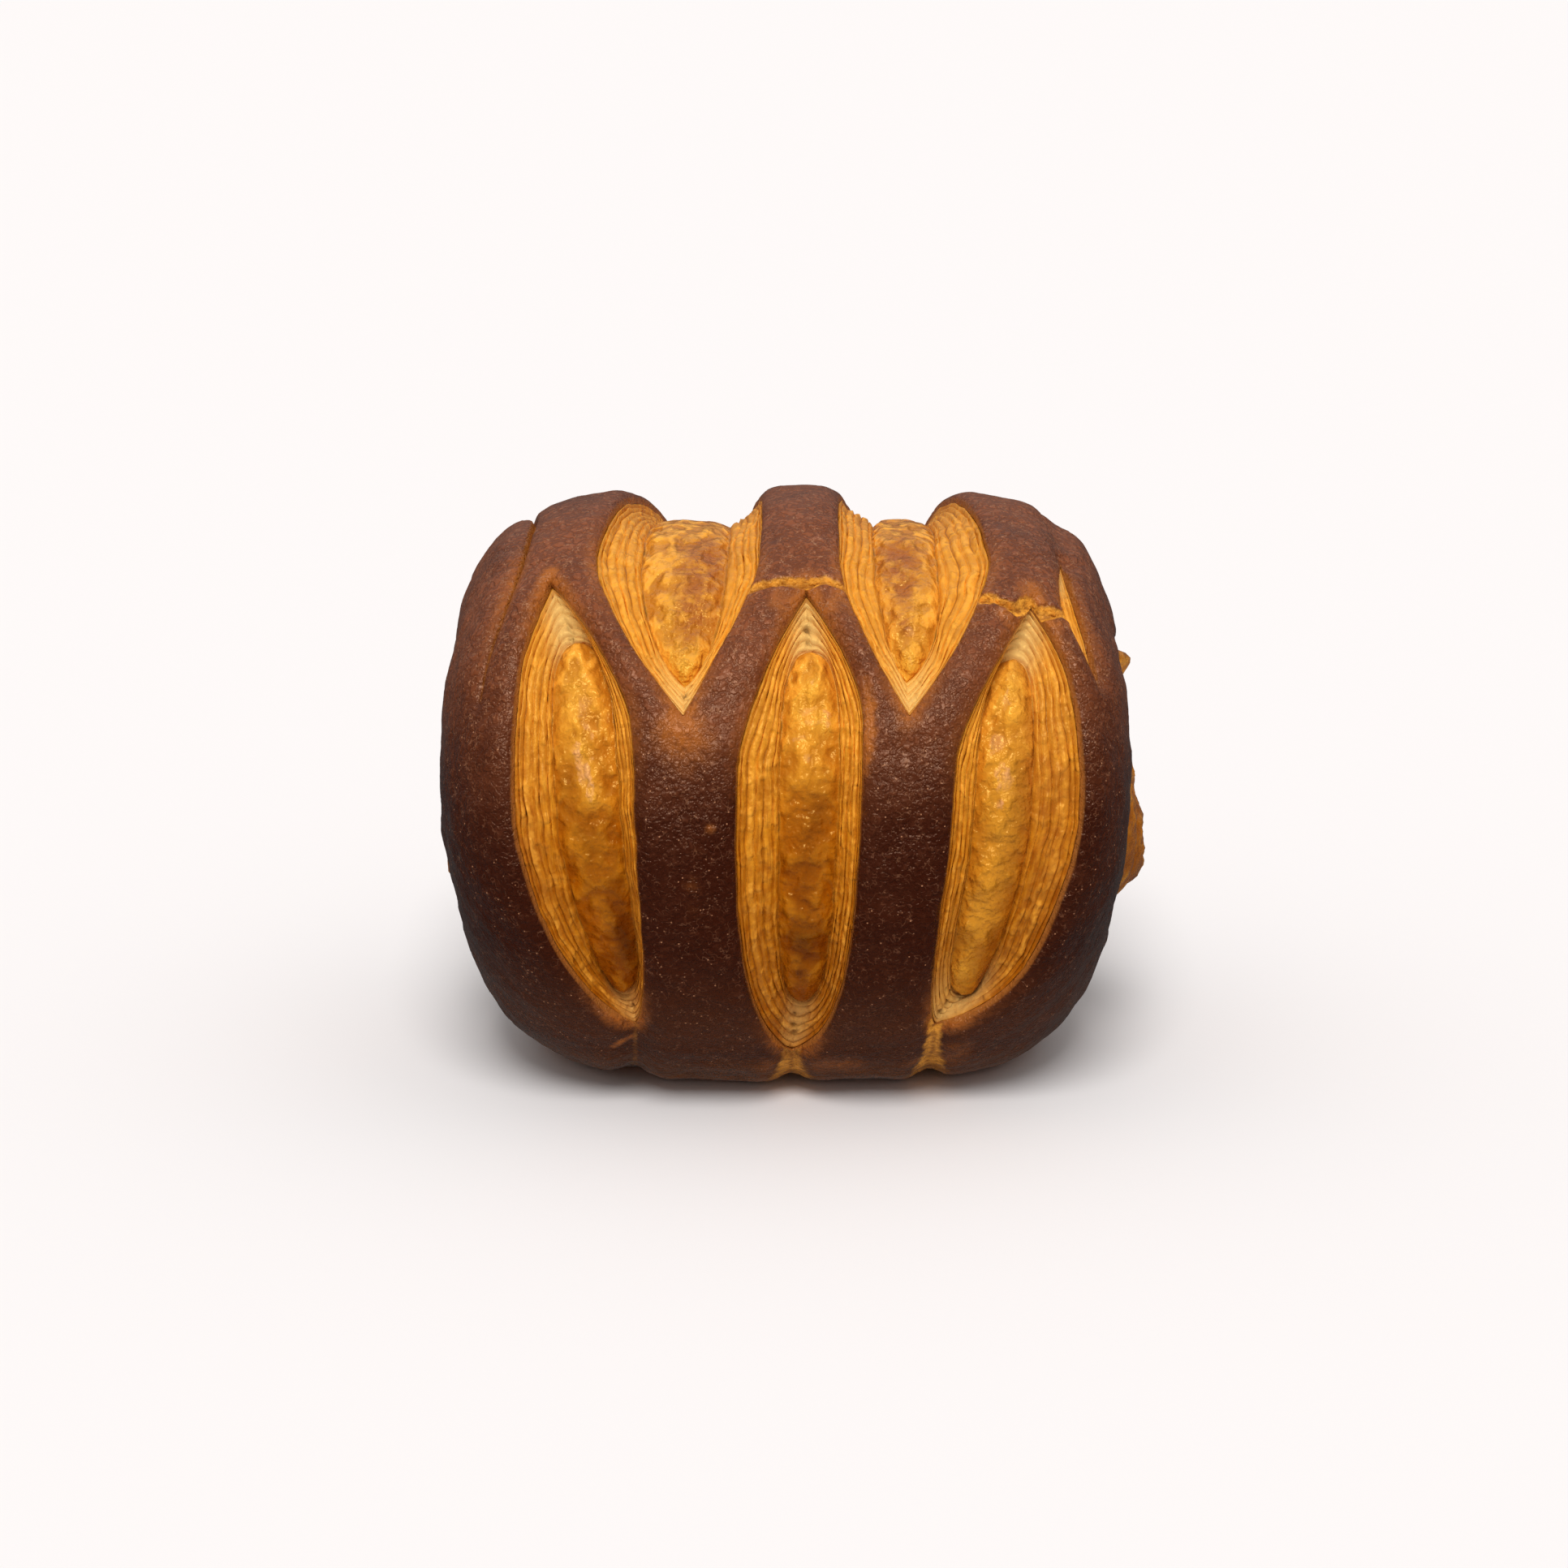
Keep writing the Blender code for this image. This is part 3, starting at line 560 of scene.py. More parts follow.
def dense_edges(with_rims):
    """Closely spaced points along the edges of the slits, unrolled, and along the rims if asked for."""
    shares = np.linspace(0, 1, EDGE_SAMPLES)
    loops = []
    for rows in OPENINGS:
        around = rows.around[0] + (rows.around[-1] - rows.around[0]) * shares
        for edge in (rows.left, rows.right):
            loops.append(np.stack([np.interp(around, rows.around, edge), around], -1))
    if with_rims:
        around = np.linspace(SEAM, SEAM + 360, RIM_SAMPLES + 1)
        loops += [np.stack([end * rim(around, end), around], -1) for end in (-1, 1)]
    return tree_of(flat(np.concatenate(loops)))


def distance_to_route(points, crease):
    """How far each point of the unrolled sheet lies from a crease's jagged route, and how far along it."""
    here, corners = flat(points), flat(np.array(crease.route))
    jag = np.stack([lattice_noise(here, LONG_JAG, seed) for seed in (11, 12)], -1)
    jag += 0.6 * np.stack([lattice_noise(here, SHORT_JAG, seed) for seed in (13, 14)], -1)
    here = here + crease.jag * jag
    distances, shares = [], []
    for start, stop in zip(corners, corners[1:]):
        way = stop - start
        share = np.clip(((here - start) @ way) / (way @ way), 0, 1)
        distances.append(np.linalg.norm(here - start - share[:, None] * way, axis=1))
        shares.append(share)
    return np.min(distances, axis=0), np.mean(shares, axis=0)


def creased(points):
    """How deep the creases dip, how bare the crumb shows in them and where their dark cores of painted shade
    run.
    """
    depths, bareness, cores = [], [], []
    for crease in CREASES:
        distance, share = distance_to_route(points, crease)
        lip = LIP_HEIGHT * bell(distance - LIP_PLACE * crease.spread, crease.spread)
        depths.append(crease.depth * (bell(distance, crease.spread) - lip))
        flare = crease.bare_spread * (1 + crease.flare * share**2)
        bareness.append(crease.bare * np.exp(-((distance / flare) ** 3)))
        cores.append(bell(distance, CORE_SPREAD) * (0.4 + 0.6 * (crease.bare > 0)))
    return np.sum(depths, axis=0), np.max(bareness, axis=0), np.max(cores, axis=0)


def bells(points, patches):
    """How strongly each patch shows at each point."""
    here = flat(points)
    middles = [flat(np.array(patch.place)) for patch in patches]
    return [
        patch.strength * bell(np.linalg.norm(here - middle, axis=1), patch.spread)
        for patch, middle in zip(patches, middles)
    ]


def patched(points, patches):
    """How strongly the patches show together at each point."""
    return 1 - np.prod(1 - np.array(bells(points, patches)), axis=0)


def near_tips(points):
    """How near each point lies to the tips of the slits, from 0 to 1."""
    slits = FRONT_ROW + TOP_ROW[1:3] + BACK_ROW
    ends = [Patch(slit.opening.low, *LOW_TOAST) for slit in slits]
    ends += [Patch(slit.opening.high, *HIGH_TOAST) for slit in slits]
    return np.max(bells(points, ends), axis=0)


def holed(points):
    """How far each point lies inside one of the small holes, from 0 to 1."""
    return np.max(bells(points, HOLES), axis=0)


def stained(points, stains):
    """How strongly the stains show at each point."""
    strengths = [
        stain.strength
        * np.exp(
            -(((points[:, 0] - stain.place[0]) / stain.spread_along) ** 2)
            - ((points[:, 1] - stain.place[1]) / stain.spread_around) ** 2
        )
        for stain in stains
    ]
    return 1 - np.prod(1 - np.array(strengths), axis=0)


def offset_ring(loop, distance):
    """The loop moved outwards over the unrolled sheet."""
    here = flat(loop)
    way = np.roll(here, -1, axis=0) - np.roll(here, 1, axis=0)
    outwards = np.stack([-way[:, 1], way[:, 0]], -1) / np.linalg.norm(way, axis=1)[:, None]
    return (here + outwards * distance) / [1, DEGREE]


def edge_rings(edge_tree):
    """Points along rings round every slit and rim, to give the crust its rolled edge."""
    kept = []
    for distance in FINE_RINGS:
        ring = np.concatenate([offset_ring(loop_of(rows), distance) for rows in OPENINGS])
        ring = ring[nearest(edge_tree, flat(ring)) > RING_SHARE * distance]
        kept.append(ring)
        angles = SEAM + 360 * (np.arange(2 * RIM_STEPS) + 0.5) / (2 * RIM_STEPS)
        kept += [np.stack([end * (rim(angles, end) - distance), angles], -1) for end in (-1, 1)]
    return np.concatenate(kept)


def crack_grid():
    """A fine grid of points along the cracks."""
    rows = []
    for crack in CRACKS:
        corners = flat(np.array(crack.route))
        low, high = corners.min(axis=0) - CRACK_BAND, corners.max(axis=0) + CRACK_BAND
        x, y = np.meshgrid(np.arange(low[0], high[0], CRACK_GRID), np.arange(low[1], high[1], CRACK_GRID))
        rows.append(np.stack([x.ravel(), y.ravel()], -1))
    return np.concatenate(rows) / [1, DEGREE]


def sheet_grid(spacing):
    """A staggered grid of points over the whole unrolled sheet."""
    rows = int(360 * DEGREE / (spacing * ROW_SHARE))
    lines = []
    for row in range(1, rows):
        around = SEAM + 360 * row / rows
        shift = spacing / 2 * (row % 2)
        along = np.arange(-RIM + shift, RIM, spacing)
        lines.append(np.stack([along, np.full_like(along, around)], -1))
    return np.concatenate(lines)


def rim_angles():
    """The angles of the corners round a rim."""
    return SEAM + 360 * np.arange(RIM_STEPS) / RIM_STEPS


def sheet_outline(spacing):
    """The unrolled sheet's border in four rows: the seam, the right rim, the seam, the left rim."""
    first, last = -rim(SEAM, -1), rim(SEAM, 1)
    seam = np.linspace(first, last, int((last - first) / spacing) + 1)
    angles = rim_angles()[1:]
    bottom = np.stack([seam, np.full_like(seam, SEAM)], -1)
    right = np.stack([rim(angles, 1), angles], -1)
    left = np.stack([-rim(angles, -1), angles], -1)
    return bottom, right, bottom + [0, 360], left


def unrolled_sheet(spacing, edge_tree, extra=None):
    """Points and triangles of the sheet with its slits cut out, and its borders.

    The borders are the loops of the slits, then the left rim, then the right rim.
    """
    loops = [loop_of(rows) for rows in OPENINGS]
    bottom, right, top, left = sheet_outline(spacing)
    border = np.concatenate([bottom, right, top[::-1], left[::-1]])
    fixed = np.concatenate([*loops, border])
    free = sheet_grid(spacing)
    free = free[nearest(edge_tree, flat(free)) > (EDGE_ROOM * spacing if extra is None else FINE_BAND)]
    if extra is not None:
        free = free[nearest(tree_of(flat(extra)), flat(free)) > POINT_ROOM * spacing]
        free = np.concatenate([extra, free])
    free = free[inside_rims(free) > RIM_ROOM * spacing]
    free = free[~np.any([inside(rows, free) for rows in OPENINGS], axis=0)]
    points = np.concatenate([fixed, free])

    edges, start, numbered = [], 0, []
    for loop in [*loops, border]:
        numbers = list(range(start, start + len(loop)))
        edges += list(zip(numbers, numbers[1:] + numbers[:1]))
        numbered.append(numbers)
        start += len(loop)
    border_numbers = numbered.pop()
    found = delaunay_2d_cdt([tuple(p) for p in flat(points).tolist()], edges, [], 0, 1e-7)
    origin = np.array([came[0] for came in found[3]])
    triangles = origin[np.array(found[2])]
    centres = points[triangles].mean(axis=1)
    outside = np.any([inside(rows, centres) for rows in OPENINGS], axis=0)
    triangles = triangles[~outside & (inside_rims(centres) > 0)]

    seam_length = len(bottom)
    first_top = start - len(border) + seam_length + len(right)
    for step in range(seam_length):
        triangles[triangles == first_top + seam_length - 1 - step] = border_numbers[step]
    left_rim = [border_numbers[0]] + border_numbers[-len(left) :][::-1]
    right_rim = border_numbers[seam_length - 1 : seam_length + len(right)]
    return points, triangles, [*numbered, left_rim, right_rim]


class Mesh:
    """A closed mesh in the making, with marks on its corners for the finish."""

    def __init__(self, *marks):
        self.corners = []
        self.faces = []
        self.marks = {name: [] for name in marks}
        self.count = 0

    def add(self, corners, kept=None, **marks):
        """Add the corners, or only as many as are kept, with their marks; gives their numbers."""
        self.corners.append(corners[:kept])
        for name, rows in self.marks.items():
            rows.append(np.broadcast_to(np.asarray(marks.get(name, 0.0), float), len(corners))[:kept])
        start = self.count
        self.count += len(corners[:kept])
        return np.arange(start, self.count)

    def band(self, lower, upper):
        """Two triangles for each step between two loops of the same length."""
        lower, upper = np.asarray(lower), np.asarray(upper)
        after, above = np.roll(lower, -1), np.roll(upper, -1)
        for face in (np.stack([lower, after, above], -1), np.stack([lower, above, upper], -1)):
            whole = (face[:, 0] != face[:, 1]) & (face[:, 1] != face[:, 2]) & (face[:, 0] != face[:, 2])
            self.faces.append(face[whole])

    def build(self, name, finish, smooth_up_to):
        faces = np.concatenate(self.faces)
        used, faces = np.unique(faces, return_inverse=True)
        faces = faces.reshape(-1, 3)
        mesh = bpy.data.meshes.new(name)
        mesh.from_pydata(np.concatenate(self.corners)[used].tolist(), [], faces.tolist())
        for mark, rows in self.marks.items():
            layer = mesh.attributes.new(mark, "FLOAT", "POINT")
            layer.data.foreach_set("value", np.concatenate(rows)[used].astype(np.float32))
        shaper = bmesh.new()
        shaper.from_mesh(mesh)
        bmesh.ops.recalc_face_normals(shaper, faces=shaper.faces)
        open_edges = sum(1 for edge in shaper.edges if len(edge.link_faces) != 2)
        shaper.to_mesh(mesh)
        shaper.free()
        if open_edges:
            raise RuntimeError(f"{name} has {open_edges} open edges")
        mesh.shade_smooth()
        mesh.set_sharp_from_angle(angle=np.radians(smooth_up_to))
        mesh.materials.append(finish)
        made = bpy.data.objects.new(name, mesh)
        bpy.context.scene.collection.objects.link(made)
        return made


def cocoa_mesh(crust):
    """The scored crust: a finely worked outer face, a plain inner face and its cut edges."""
    edge_tree, slit_tree = dense_edges(True), dense_edges(False)
    rings, cracks = edge_rings(edge_tree), crack_grid()
    for tree, room in zip((edge_tree, tree_of(flat(rings))), CRACK_ROOM):
        cracks = cracks[nearest(tree, flat(cracks)) > room]
    points, triangles, borders = unrolled_sheet(FINE_GRID, edge_tree, np.concatenate([rings, cracks]))
    under, under_triangles, under_borders = unrolled_sheet(COARSE_GRID, edge_tree)

    to_edge = nearest(edge_tree, flat(points))
    near = np.clip(to_edge / EDGE_ROUND, 0, 1)
    rounded = EDGE_DROP * (1 - np.sqrt(1 - (1 - near) ** 2))
    dip, bare, core = creased(points)
    in_space = place(points, 0.0)
    swell = SWELL_HEIGHT * lattice_noise(in_space, SWELL_SIZE, 1)
    swell += crust.unevenness * lattice_noise(in_space, DENT_SIZE, 2)
    wrinkles = np.abs(lattice_noise(in_space, WRINKLE_SIZE, 4))
    wrinkles += 0.5 * np.abs(lattice_noise(in_space, FINE_WRINKLE_SIZE, 6))
    grain = (swell - crust.wrinkles * wrinkles) * ramp(0, CALM_EDGE, to_edge)
    crumb = CRUMB_HEIGHT * bare * lattice_noise(in_space, CRUMB_SIZE, 8)
    crest = CREST_HEIGHT * bell(points[:, 0] - CREST_MIDDLE, CREST_SPREAD)
    crest = crest * ramp(*CREST_ENDS, np.abs(points[:, 1] - TOP))
    depth = np.clip(rounded + dip - grain + crumb - crest * near, -MOST_RAISED, SHEET - THINNEST)

    piece = Mesh("edge", "bare", "core", "toast", "tips", "cut", "foot")
    corners = place(points, depth)
    outer = piece.add(
        corners,
        edge=np.minimum(nearest(slit_tree, flat(points)), 20 * MM) / MM,
        bare=bare,
        core=core,
        toast=patched(points, TOASTED),
        tips=near_tips(points),
        foot=sum(glow * ramp(start, full, corners[:, 2]) for glow, start, full in FOOT_GOLD_AND_BOUNCE),
    )
    inner = piece.add(place(under, INNER_FACE), cut=1.0)
    piece.faces.append(outer[triangles])
    piece.faces.append(inner[under_triangles][:, ::-1])
    for fine, coarse in zip(borders, under_borders):
        lip = piece.add(place(points[fine], INNER_FACE * LIP_SHARE), cut=1.0)
        piece.band(outer[fine], lip)
        piece.band(lip, inner[coarse])
    return piece


def share_of(level, ends):
    """How far across the wall a level lies, from 0 at the sheet's edge to 1 at the floor."""
    return np.interp(level, np.arange(len(ends)), ends)


def layer_relief(step):
    """The pillow and the groove of a layer at a step across it, from 0 to 1."""
    pillow = 1 - (2 * step - 1) ** 4
    groove = bell(min(step, 1 - step), GROOVE_SHARE)
    return pillow, groove


def wall_levels(layers):
    """The levels at which the rings of the wall lie, layer by layer."""
    return [layer + step for layer in range(layers) for step in LAYER_STEPS]


def slit_cup(piece, slit, number, loop_numbers, dough):
    """The layered wall and blistered floor of plain dough inside one slit, grown from its loop."""
    opening, floor = loop_of(OPENINGS[number]), loop_of(FLOORS[number])
    steps = STEPS_OF[number]
    shallow = slit.foot == SHALLOW_FOOT
    ends = SHALLOW_ENDS if shallow else LAYER_ENDS
    layers = len(ends) - 1
    order = np.arange(len(opening))
    hand = np.where(order <= steps, 1.0, 2.0) + 3 * number
    lengths = np.linalg.norm(np.diff(flat(opening), axis=0, append=flat(opening)[:1]), axis=1)
    arc = np.cumsum(lengths) / MM
    width = np.linalg.norm(flat(opening) - flat(floor), axis=1)
    room = ramp(NARROW_WALL, WIDE_WALL, width) * 0.75 + 0.25
    side_of = 7.0 * hand
    previous = loop_numbers
    for level in wall_levels(layers):
        calm = min(1.0, level, layers - level)
        drift = sum(
            reach * lattice_noise(np.stack([arc, side_of + turn * level], -1), size, seed)
            for reach, turn, size, seed in DRIFTS
        )
        share = share_of(level + drift * calm, ends)[:, None]
        here = opening + share * (floor - opening)
        layer, step = divmod(level, 1.0)
        if step == 0.0:
            layer, step = layer - 1, 1.0
        darkness = SHALLOW_DARKNESS if shallow else LINE_DARKNESS[int(round(level))]
        pillow, groove = layer_relief(step)
        climb = ramp(LAYER_STEPS[-3], 1.0, step) * (1 - LAYER_SLOPE) + LAYER_SLOPE * step
        drop = (layer + climb) / layers
        blister = np.stack([arc * 0.4, side_of + 1.0 * level], -1)
        puff = humps(blister, 1.0, 23)
        lively = min(1.0, 2 * level, 2 * (layers - level)) * (1 - 0.7 * groove)
        hole = holed(here)
        depth = UNDER_FACE + (slit.foot - UNDER_FACE) * drop
        low, high = flat(here)[0], flat(here)[steps]
        to_low, to_high = [np.linalg.norm(flat(here) - point, axis=1) for point in (low, high)]
        low_cream, low_reach = LOW_CREAM[number]
        at_tips = np.clip(bell(to_high, HIGH_CREAM_REACH) + low_cream * bell(to_low, low_reach), 0, 1)
        puff = puff * (1 - 0.8 * at_tips)
        depth += (LAYER_GROOVE * groove * calm - (PILLOW * pillow + dough.blisters * puff) * lively) * room
        depth += WALL_HOLE * hole
        # Painted shade just under the sheet's edge, and the dark lines between the layers; the last line,
        # where the wall meets the floor, is partly painted shade in that corner.
        shade = ramp(0.25, 0.0, level) * 0.5 + groove * darkness * (1 - 0.5 * at_tips)
        ring = piece.add(
            place(here, depth),
            level=level,
            arc=arc + 40 * hand,
            wall=1.0,
            tip=at_tips * ramp(0.3, 1.2, level),
            seam=np.clip(shade, 0, 1),
            gap=np.clip(hole, 0, 1),
            thick=puff * lively,
            **{mark: stained(here, STAINS[mark]) * strength for mark, strength in WALL_STAINS.items()},
        )
        piece.band(previous, ring)
        previous = ring
    slit_floor(piece, slit, number, previous, dough)


def slit_floor(piece, slit, number, wall_foot, dough):
    """The blistered floor of one slit, from the foot of its wall to its middle line."""
    rows, floor, steps = FLOORS[number], loop_of(FLOORS[number]), STEPS_OF[number]
    spine = there_and_back(np.stack([(rows.left + rows.right) / 2, rows.around], -1))
    crown = there_and_back(dough.crown * ramp(0, CROWN_WIDTH, rows.right - rows.left))
    half = there_and_back((rows.right - rows.left) / 2)
    previous = wall_foot
    for share in SHALLOW_STEPS if slit.foot == SHALLOW_FOOT else FLOOR_STEPS:
        here = floor + share * (spine - floor)
        from_wall = half * share
        in_space = place(here, slit.foot)
        bubbles = humps(in_space, LARGE_BUBBLE, 31) + 0.5 * humps(in_space, SMALL_BUBBLE, 32)
        bubbles = bubbles + 0.4 * lattice_noise(in_space, BROAD_BUBBLE, 34) + 0.7 * stained(here, PALE_AND_HIGHLIGHTS)
        rise = dough.bubbles * bubbles * ramp(0, BUBBLE_EDGE, from_wall)
        hole = holed(here)
        last = share == 1.0
        ring = piece.add(
            place(here, slit.foot - crown * (1 - (1 - share) ** 2) - rise + FLOOR_HOLE * hole),
            steps + 1 if last else None,
            level=len(LAYER_ENDS) - 0.5,
            wall=ramp(FLOOR_CORNER, 0.0, from_wall),
            # Painted shade in the corner where the floor meets its wall.
            seam=0.3 * ramp(FLOOR_CORNER, 0.0, from_wall),
            gap=np.clip(hole, 0, 1),
            thick=bubbles,
            **{mark: stained(here, spots) for mark, spots in STAINS.items()},
        )
        ring = there_and_back(ring) if last else ring
        piece.band(previous, ring)
        previous = ring


def end_cap(piece, rim_loop, end):
    """The rolled end of the plain dough, from the sheet's rim to the pole."""
    angles = rim_angles()
    edge = rim(angles, end)
    previous = rim_loop
    for ring_number in range(1, END_RINGS + 1):
        share = ring_number / END_RINGS
        along = end * (edge + (POLE - edge) * share)
        length = POLE - np.abs(along)
        across = length * np.cos(np.radians(angles))
        up = length * np.sin(np.radians(angles)) + SWELL_DROP
        distance = np.hypot(across, up)
        swell = (RIGHT_SWELL if end > 0 else LEFT_SWELL) * bell(distance, SWELL_SPREAD)
        turns = distance / ROLL_PITCH - np.arctan2(up, across) / (2 * np.pi)
        turns += 0.06 * lattice_noise(np.stack([across, up], -1), TURN_WAVE, 41 + end)
        off_groove = np.abs(turns - np.round(turns)) * ROLL_PITCH
        groove = bell(off_groove, GROOVE_SPREAD) * ramp(0, ROLL_HEART, distance)
        rise = ramp(0, SWELL_START, (np.abs(along) - edge) / (POLE - edge))
        here = skin(along, angles, np.zeros_like(angles))
        puff = np.abs(lattice_noise(here, LARGE_PUFF, 42)) + 0.5 * np.abs(lattice_noise(here, SMALL_PUFF, 43))
        depth = UNDER_FACE * (1 - rise) + (SHEET / 2 + ROLL_GROOVE * groove - swell) * rise
        depth -= END_PUFF * puff * rise
        from_rim = np.abs(along) - edge
        leaf = bell(angles - LEAF_ANGLE, LEAF_SPREAD) * ramp(0, LEAF_START, from_rim)
        depth -= LEAF_HEIGHT * (leaf * bell(from_rim - LEAF_PLACE, LEAF_WIDTH)) * (end > 0)
        last = ring_number == END_RINGS
        ring = piece.add(
            skin(along, angles, depth),
            1 if last else None,
            level=turns * 4,
            arc=np.degrees(np.abs(np.arctan2(up, across))) * 0.3,
            wall=0.5 * (1 - groove),
            browned=0.35 * ramp(*BROWN_RANGE, up - SWELL_DROP),
            # Pale on the tops of the puffs, painted light on the relief.
            pale=0.6 * ramp(0.35, 0.9, puff) * (1 - groove),
            # Dark lines in the grooves between the turns, and painted shade near the sheet's rim.
            seam=np.clip(groove * 0.8 + ramp(0.2, 0.0, share), 0, 1),
            thick=puff,
        )
        ring = np.repeat(ring, len(previous)) if last else ring
        piece.band(previous, ring)
        previous = ring


def dough_mesh(dough):
    """The roll of plain laminated dough: under the sheet, in its slits and at its two ends."""
    points, triangles, (*loops, left_rim, right_rim) = unrolled_sheet(COARSE_GRID, dense_edges(True))
    piece = Mesh("level", "arc", "wall", "tip", "browned", "pale", "red", "glazed", "seam", "gap", "thick")
    # The face under the sheet is painted dark as shade.
    under = piece.add(place(points, UNDER_FACE), gap=1.0)
    piece.faces.append(under[triangles])
    for number, (slit, loop) in enumerate(zip(SLITS, loops)):
        slit_cup(piece, slit, number, under[loop], dough)
    end_cap(piece, under[left_rim], -1)
    end_cap(piece, under[right_rim], 1)
    return piece


class Value:
    """A number from a node. Arithmetic on it adds Math nodes."""

    def __init__(self, finish, socket):
        self.finish = finish
        self.socket = socket

    def math(self, operation, *others, clamp=False):
        settings = {"operation": operation, "use_clamp": clamp}
        return self.finish.node("ShaderNodeMath", settings, [self, *others])

    __add__ = __radd__ = partialmethod(math, "ADD")
    __mul__ = __rmul__ = partialmethod(math, "MULTIPLY")
    __sub__ = partialmethod(math, "SUBTRACT")
    __truediv__ = partialmethod(math, "DIVIDE")
    __abs__ = partialmethod(math, "ABSOLUTE")
    clamped = partialmethod(math, "ADD", 0.0, clamp=True)

    def __rsub__(self, other):
        return self.finish.node("ShaderNodeMath", {"operation": "SUBTRACT"}, [other, self])

    def smooth(self, low, high):
        """0 at low, 1 at high and smooth in between."""
        if low > high:
            return 1 - self.smooth(high, low)
        settings = {"interpolation_type": "SMOOTHSTEP"}
        return self.finish.node("ShaderNodeMapRange", settings, [self, low, high, 0.0, 1.0])


class Nodes:
    """A node tree in the making."""

    def __init__(self, tree):
        self.tree = tree

    def node(self, kind, settings=None, inputs=None, output=0):
        made = self.tree.nodes.new(kind)
        for name, value in (settings or {}).items():
            if name == "stops":
                ramp_of = made.color_ramp
                while len(ramp_of.elements) < len(value):
                    ramp_of.elements.new(0.5)
                for element, (position, colour) in zip(ramp_of.elements, value):
                    element.position = position
                    element.color = (*colour, 1)
            else:
                setattr(made, name, value)
        pairs = inputs.items() if isinstance(inputs, dict) else enumerate(inputs or [])
        for key, value in pairs:
            self.feed(made.inputs[key], value)
        return Value(self, made.outputs[output]) if output is not None else None

    def feed(self, socket, value):
        if isinstance(value, Value):
            self.tree.links.new(value.socket, socket)
        elif socket.type == "RGBA":
            socket.default_value = (*value[:3], 1)
        else:
            socket.default_value = value


class Finish(Nodes):
    """A material in the making."""

    def __init__(self, name):
        self.material = bpy.data.materials.new(name)
        self.material.use_nodes = True
        super().__init__(self.material.node_tree)
        self.surface = self.tree.nodes["Principled BSDF"]

    def mark(self, name):
        return self.node("ShaderNodeAttribute", {"attribute_name": name}, output="Fac")

    def position(self):
        return self.node("ShaderNodeTexCoord", output="Object")

    def height(self, where):
        """How high up the roll a place lies, from 0 to 1."""
        return self.node("ShaderNodeSeparateXYZ", inputs=[where], output=2) / ROLL_HEIGHT

    def noise(self, size, detail, roughness, where):
        inputs = {"Scale": 1 / size, "Detail": detail, "Roughness": roughness, "Vector": where}
        return self.node("ShaderNodeTexNoise", {"noise_type": "FBM", "normalize": True}, inputs)

    def cells(self, size, where):
        inputs = {"Scale": 1 / size, "Vector": where}
        return self.node("ShaderNodeTexVoronoi", {"feature": "F1"}, inputs, "Distance")

    def mix(self, factor, first, second):
        settings = {"data_type": "RGBA", "blend_type": "MIX", "clamp_factor": True}
        return self.node("ShaderNodeMix", settings, {0: factor, 6: first, 7: second}, 2)

    def coated(self, colour, *coats):
        """The colour under coats of others, in order, each given with how strongly it shows."""
        for strength, coat in coats:
            colour = self.mix(strength, colour, coat)
        return colour

    def combine(self, x, y, z):
        return self.node("ShaderNodeCombineXYZ", inputs=[x, y, z])

    def stretched(self, where, factors):
        return self.node("ShaderNodeVectorMath", {"operation": "MULTIPLY"}, [where, factors])

    def bump(self, height, distance):
        inputs = {"Height": height, "Distance": distance, "Strength": 1.0}
        return self.node("ShaderNodeBump", inputs=inputs)

    def set(self, **values):
        for name, value in values.items():
            self.feed(self.surface.inputs[name.replace("_", " ").title().replace("Ior", "IOR")], value)


